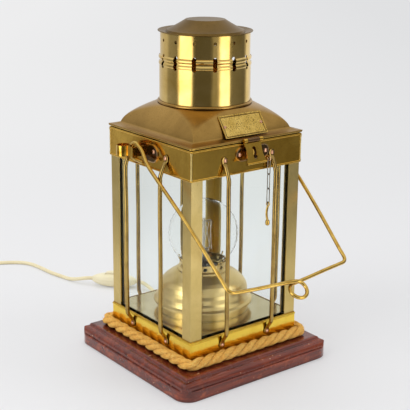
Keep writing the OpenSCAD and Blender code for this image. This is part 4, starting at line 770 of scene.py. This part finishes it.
def bail_half():
    """Right half, lying flat along -y: tail, eye, arm and corner, as far as the cross wire."""
    first = math.acos(BAIL_EYE / math.hypot(*BAIL_TAIL)) - math.atan2(BAIL_TAIL[1], -BAIL_TAIL[0]) - math.pi
    rows = [[BAIL_HALF, *BAIL_TAIL]]
    for i in range(BAIL_EYE_STEPS + 1):
        a = first + (math.pi / 2 - first) * i / BAIL_EYE_STEPS
        rows.append([BAIL_HALF, BAIL_EYE * math.cos(a), BAIL_EYE * math.sin(a)])
    arm = []
    for s, rise in BAIL_BEND:
        taper = (s - BAIL_TAPER_FROM) / (BAIL_ARM - BAIL_TAPER_FROM - BAIL_TAPER_LEFT)
        x = BAIL_HALF + BAIL_SET * ease((s - BAIL_SET_FROM) / BAIL_SET_OVER)
        x -= (BAIL_SET + BAIL_HALF - BAIL_CORNER) * min(1, max(0, taper))
        arm.append([x, -s, BAIL_EYE + rise])
    a, b, c = (np.array(p, float) for p in
               (arm[-1], [BAIL_CORNER, -BAIL_ARM, BAIL_EYE], [0, -BAIL_ARM - BAIL_BOW, BAIL_EYE]))
    p, q = b + BAIL_CORNER_CUT * unit(a - b), b + BAIL_CORNER_CUT * unit(c - b)
    corner = [(1 - t) ** 2 * p + 2 * t * (1 - t) * b + t * t * q for t in np.linspace(0, 1, 9)]
    return [np.array(r, float) for r in rows + smooth(arm, 3)] + corner


def bail_line():
    """The whole wire: both halves and the loop between them, turned to the rest pose."""
    half = bail_half()
    loop_y = -BAIL_ARM - BAIL_BOW - LOOP_R
    loop = []
    for i in range(LOOP_STEPS + 1):
        a = math.radians(90 - 360 / LOOP_STEPS * i)
        rise = CROSS * (1 - 2 * i / LOOP_STEPS)
        loop.append([LOOP_R * math.cos(a), loop_y + LOOP_R * math.sin(a), BAIL_EYE + rise])
    ends = []
    for sign in (-1, 1):
        part = [[sign * f * BAIL_CORNER, -BAIL_ARM - BAIL_BOW * (1 - f),
                 BAIL_EYE - sign * CROSS * ease((0.72 - f) / 0.66)] for f in (0.6, 0.45, 0.29, 0.2, 0.1)]
        ends.append(part if sign < 0 else part[::-1])
    line = [[-p[0], p[1], p[2]] for p in half] + ends[0] + loop + ends[1] + half[::-1]
    turn = Matrix.Rotation(BAIL_REST, 3, "X")
    return [np.array(turn @ Vector(p)) + PIVOT for p in line]


bail = curve_piece("bail_wire", bail_line(), BAIL_R, 4)
bail.data.materials.append(MATS["wire_brass"])
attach(bail, "bail")
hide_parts("bail")


# Hood: one smooth sheet with its curved corners, a rolled hem under its rim

HOOD_HALF = 78.1
HOOD_EDGE = 1
LIP_W = 10
LIP_H = 2.6
RISE = 26.2
NECK_OPEN = 51.4
NECK_HALF = 52.9
SHEET = 0.9
# How the sides curve in, how late the corners turn round, their radius before that, and at the
# neck the share of a full circle, just under 1 so that no two points fall together
SIDE_CURVE = 1.15
CORNER_CURVE = 2.6
CORNER_R = 0.6
ROUNDNESS = 0.99


def square_row(h, r, z, n=14):
    """Points of a square of half width h with corners of radius r, at height z."""
    out = []
    for q, (sx, sy) in enumerate(((1, 1), (-1, 1), (-1, -1), (1, -1))):
        for i in range(n + 1):
            a = math.pi / 2 * (q + i / n)
            out.append([(h - r) * sx + r * math.cos(a), (h - r) * sy + r * math.sin(a), z])
    return out


def hood_sheet():
    """Outside from the rim up to the neck, then inside down again."""
    base = HOOD_Z + HOOD_EDGE
    shoulder = HOOD_HALF - LIP_W
    outer = [(HOOD_HALF, CORNER_R, HOOD_Z)]
    outer += [(HOOD_HALF - LIP_W * t, CORNER_R, base + LIP_H * t * t) for t in np.linspace(0, 1, 9)]
    for t in np.linspace(0, 1, 27)[1:]:
        h = NECK_HALF + (shoulder - NECK_HALF) * (1 - t ** SIDE_CURVE)
        r = max(CORNER_R, ROUNDNESS * h * t ** CORNER_CURVE)
        outer.append((h, r, base + LIP_H + RISE * t))
    inner = [(NECK_OPEN, ROUNDNESS * NECK_OPEN, outer[-1][2])]
    inner += [(h - SHEET, max(0.3, r - SHEET), z - SHEET) for h, r, z in outer[-2:1:-1]]
    inner += [(HOOD_HALF - 2.8, 0.4, HOOD_Z + 0.2), (HOOD_HALF - 2.3, 0.4, HOOD_Z)]
    rows = [square_row(*r) for r in outer + inner]
    verts = [v for row in rows for v in row]
    faces = loft_faces(len(rows), len(rows[0]), True)
    mesh_piece("hood_sheet", verts, faces, "aged_brass", "hood", ["hood"])


hood_sheet()


def square_bead(name, half, z, r, body, slot):
    """A rolled edge of radius r: a square ring of half width half, with tight corners."""
    corners = [(half, -half, z), (half, half, z), (-half, half, z), (-half, -half, z)]
    points = []
    for a, b in zip(corners, corners[1:] + corners[:1]):
        a, b = np.array(a), np.array(b)
        points += [a + (b - a) * t for t in (0.004, 0.03, 0.2, 0.4, 0.6, 0.8, 0.97, 0.996)]
    bead = curve_piece(name, points, r, 3, cyclic=True)
    bead.data.materials.append(MATS[slot])
    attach(bead, body)


square_bead("hood_hem", HOOD_HALF - 0.75, HOOD_Z - 0.65, 0.75, "hood", "wire_brass")
square_bead("tray_hem", FACE - 0.45, TRAY_TOP + 0.4, 0.8, "lantern", "brass")


SEAM_STEPS = 24


def band_seam(i):
    """Soldered corner of the band: an uneven bead with a fold at each end."""
    rng = random.Random(i)
    sx, sy = ((-1, -1), (1, -1), (1, 1), (-1, 1))[i]
    points, radii = [], []
    for k in range(SEAM_STEPS + 1):
        t = k / SEAM_STEPS
        out = FACE - 0.25 + 0.12 * rng.random()
        points.append([sx * out, sy * out, BAND_BOTTOM + 2.2 + t * (BAND_TOP - BAND_BOTTOM - 4.4)])
        radii.append(0.75 + 0.2 * rng.random() + 0.5 * max(0, abs(2 * t - 1) - 0.78) / 0.22)
    seam = curve_piece(f"band_seam_{i}", points, radii, 3)
    seam.data.materials.append(MATS["post_brass"])
    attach(seam, "lantern")


for corner in range(4):
    band_seam(corner)


# Floor, world and lamps

FLOOR_HALF = 30
FLOOR_SPAN = 2.0
FLOOR_GREY = (0.80, 0.80, 0.81)
floor_mesh = bpy.data.meshes.new("floor")
floor_mesh.from_pydata([(-FLOOR_HALF, -FLOOR_HALF, 0), (FLOOR_HALF, -FLOOR_HALF, 0),
                        (FLOOR_HALF, FLOOR_HALF, 0), (-FLOOR_HALF, FLOOR_HALF, 0)], [], [(0, 1, 2, 3)])
floor = bpy.data.objects.new("floor", floor_mesh)
scene.collection.objects.link(floor)

# What polished metal sees round the lamp: degrees from the camera's side, more to its right, and
# brightness. Two tall soft boxes, a dark room between and beside them, a pale backdrop behind.
ROUND = [
    (-180, 0.80), (-150, 0.62), (-112, 0.55), (-103, 0.30), (-71, 0.24), (-64, 2.4), (-36, 2.4),
    (-29, 0.11), (15, 0.11), (19, 0.34), (33, 0.34), (42, 2.4), (62, 2.3), (66, 0.20), (116, 0.14),
    (130, 0.85), (180, 0.80),
]


def surroundings(g, x, y):
    """Brightness round the lamp from a direction's x and y, with 0 degrees on the camera's side."""
    turned = g.math("ARCTAN2", x, g.math("MULTIPLY", y, -1.0))
    share = g.math("MULTIPLY_ADD", g.math("SUBTRACT", turned, AZIMUTH), 1 / (2 * math.pi), 0.5)
    share = g.math("FRACT", share)
    return g.ramp(share, *[(0.5 + a / 360, v) for a, v in ROUND])


def make_floor():
    """Pale paper to the camera, with painted light: lighter to the camera's left, darker to its right. Far
    off, polished metal sees the surroundings in its place.
    """
    g = Graph("floor")
    floor_mesh.materials.append(g.mat)
    x, y, _ = g.split()
    far = g.length(x, y)
    room = g.ramp(g.math("DIVIDE", far, FLOOR_SPAN), (0.17, 0), (0.36, 1))
    path = g.node("ShaderNodeLightPath").outputs
    g.set(base_color=FLOOR_GREY, roughness=0.6)
    glow = g.node("ShaderNodeEmission")
    g.put(glow.inputs["Color"], surroundings(g, x, y))
    pale = g.node("ShaderNodeEmission")
    # Painted light falloff: the pale paper is lighter to the camera's left and darker to its right.
    across = g.math("ADD", g.math("MULTIPLY", x, math.cos(AZIMUTH)), g.math("MULTIPLY", y, math.sin(AZIMUTH)))
    across = g.math("MULTIPLY_ADD", across, 0.5, 0.5)
    g.put(pale.inputs["Color"], g.ramp(across, (0.1, (0.88, 0.88, 0.885)), (0.9, (0.77, 0.775, 0.785))))
    seen = g.node("ShaderNodeMixShader")
    share = g.ramp(g.math("DIVIDE", far, FLOOR_SPAN), (0.08, 0.35), (0.6, 0.9))
    g.put(seen.inputs[0], g.math("MULTIPLY", path["Is Camera Ray"], share))
    g.put(seen.inputs[1], g.shader.outputs[0])
    g.put(seen.inputs[2], pale.outputs[0])
    both = g.node("ShaderNodeMixShader")
    g.put(both.inputs[0], g.math("MULTIPLY", path["Is Glossy Ray"], room))
    g.put(both.inputs[1], seen.outputs[0])
    g.put(both.inputs[2], glow.outputs[0])
    out = next(n for n in g.tree.nodes if n.type == "OUTPUT_MATERIAL")
    g.put(out.inputs[0], both.outputs[0])


make_floor()


class WorldGraph(Graph):
    """The same for a world, which starts empty."""

    def __init__(self, world):
        world.use_nodes = True
        self.tree = world.node_tree
        self.tree.nodes.clear()


def make_world():
    """Even light for all that is dull, the surroundings for polished metal."""
    world = bpy.data.worlds.new("world")
    scene.world = world
    g = WorldGraph(world)
    way = g.node("ShaderNodeTexCoord").outputs["Generated"]
    x, y, z = g.split(way)
    ring = surroundings(g, x, y)
    high = g.ramp(z, (0.25, 0), (0.55, 1))
    shiny = g.mix(high, ring, (0.75, 0.75, 0.75))
    path = g.node("ShaderNodeLightPath").outputs
    open_air = g.mix(path["Is Diffuse Ray"], (0.83, 0.83, 0.835), (0.62, 0.62, 0.63))
    color = g.mix(path["Is Glossy Ray"], open_air, shiny)
    shade = g.node("ShaderNodeBackground")
    g.put(shade.inputs["Color"], color)
    out = g.node("ShaderNodeOutputWorld")
    g.put(out.inputs[0], shade.outputs[0])


make_world()


def lamp(name, place, size, power, target=(0, 0, 0.15)):
    """A soft rectangular light that polished metal doesn't show."""
    data = bpy.data.lights.new(name, "AREA")
    data.shape = "RECTANGLE"
    data.size, data.size_y = size
    data.energy = power
    light = bpy.data.objects.new(name, data)
    light.location = place
    light.rotation_mode = "QUATERNION"
    light.rotation_quaternion = (Vector(place) - Vector(target)).to_track_quat("Z", "Y")
    scene.collection.objects.link(light)
    light.visible_glossy = False


lamp("key", (-1.6, 0.1, 1.5), (1.0, 1.2), 14)
lamp("fill", (1.3, -1.2, 1.5), (1.0, 1.2), 9)
lamp("top", (0.2, 0.5, 2.0), (1.4, 1.4), 10)

scene.view_settings.view_transform = "Standard"
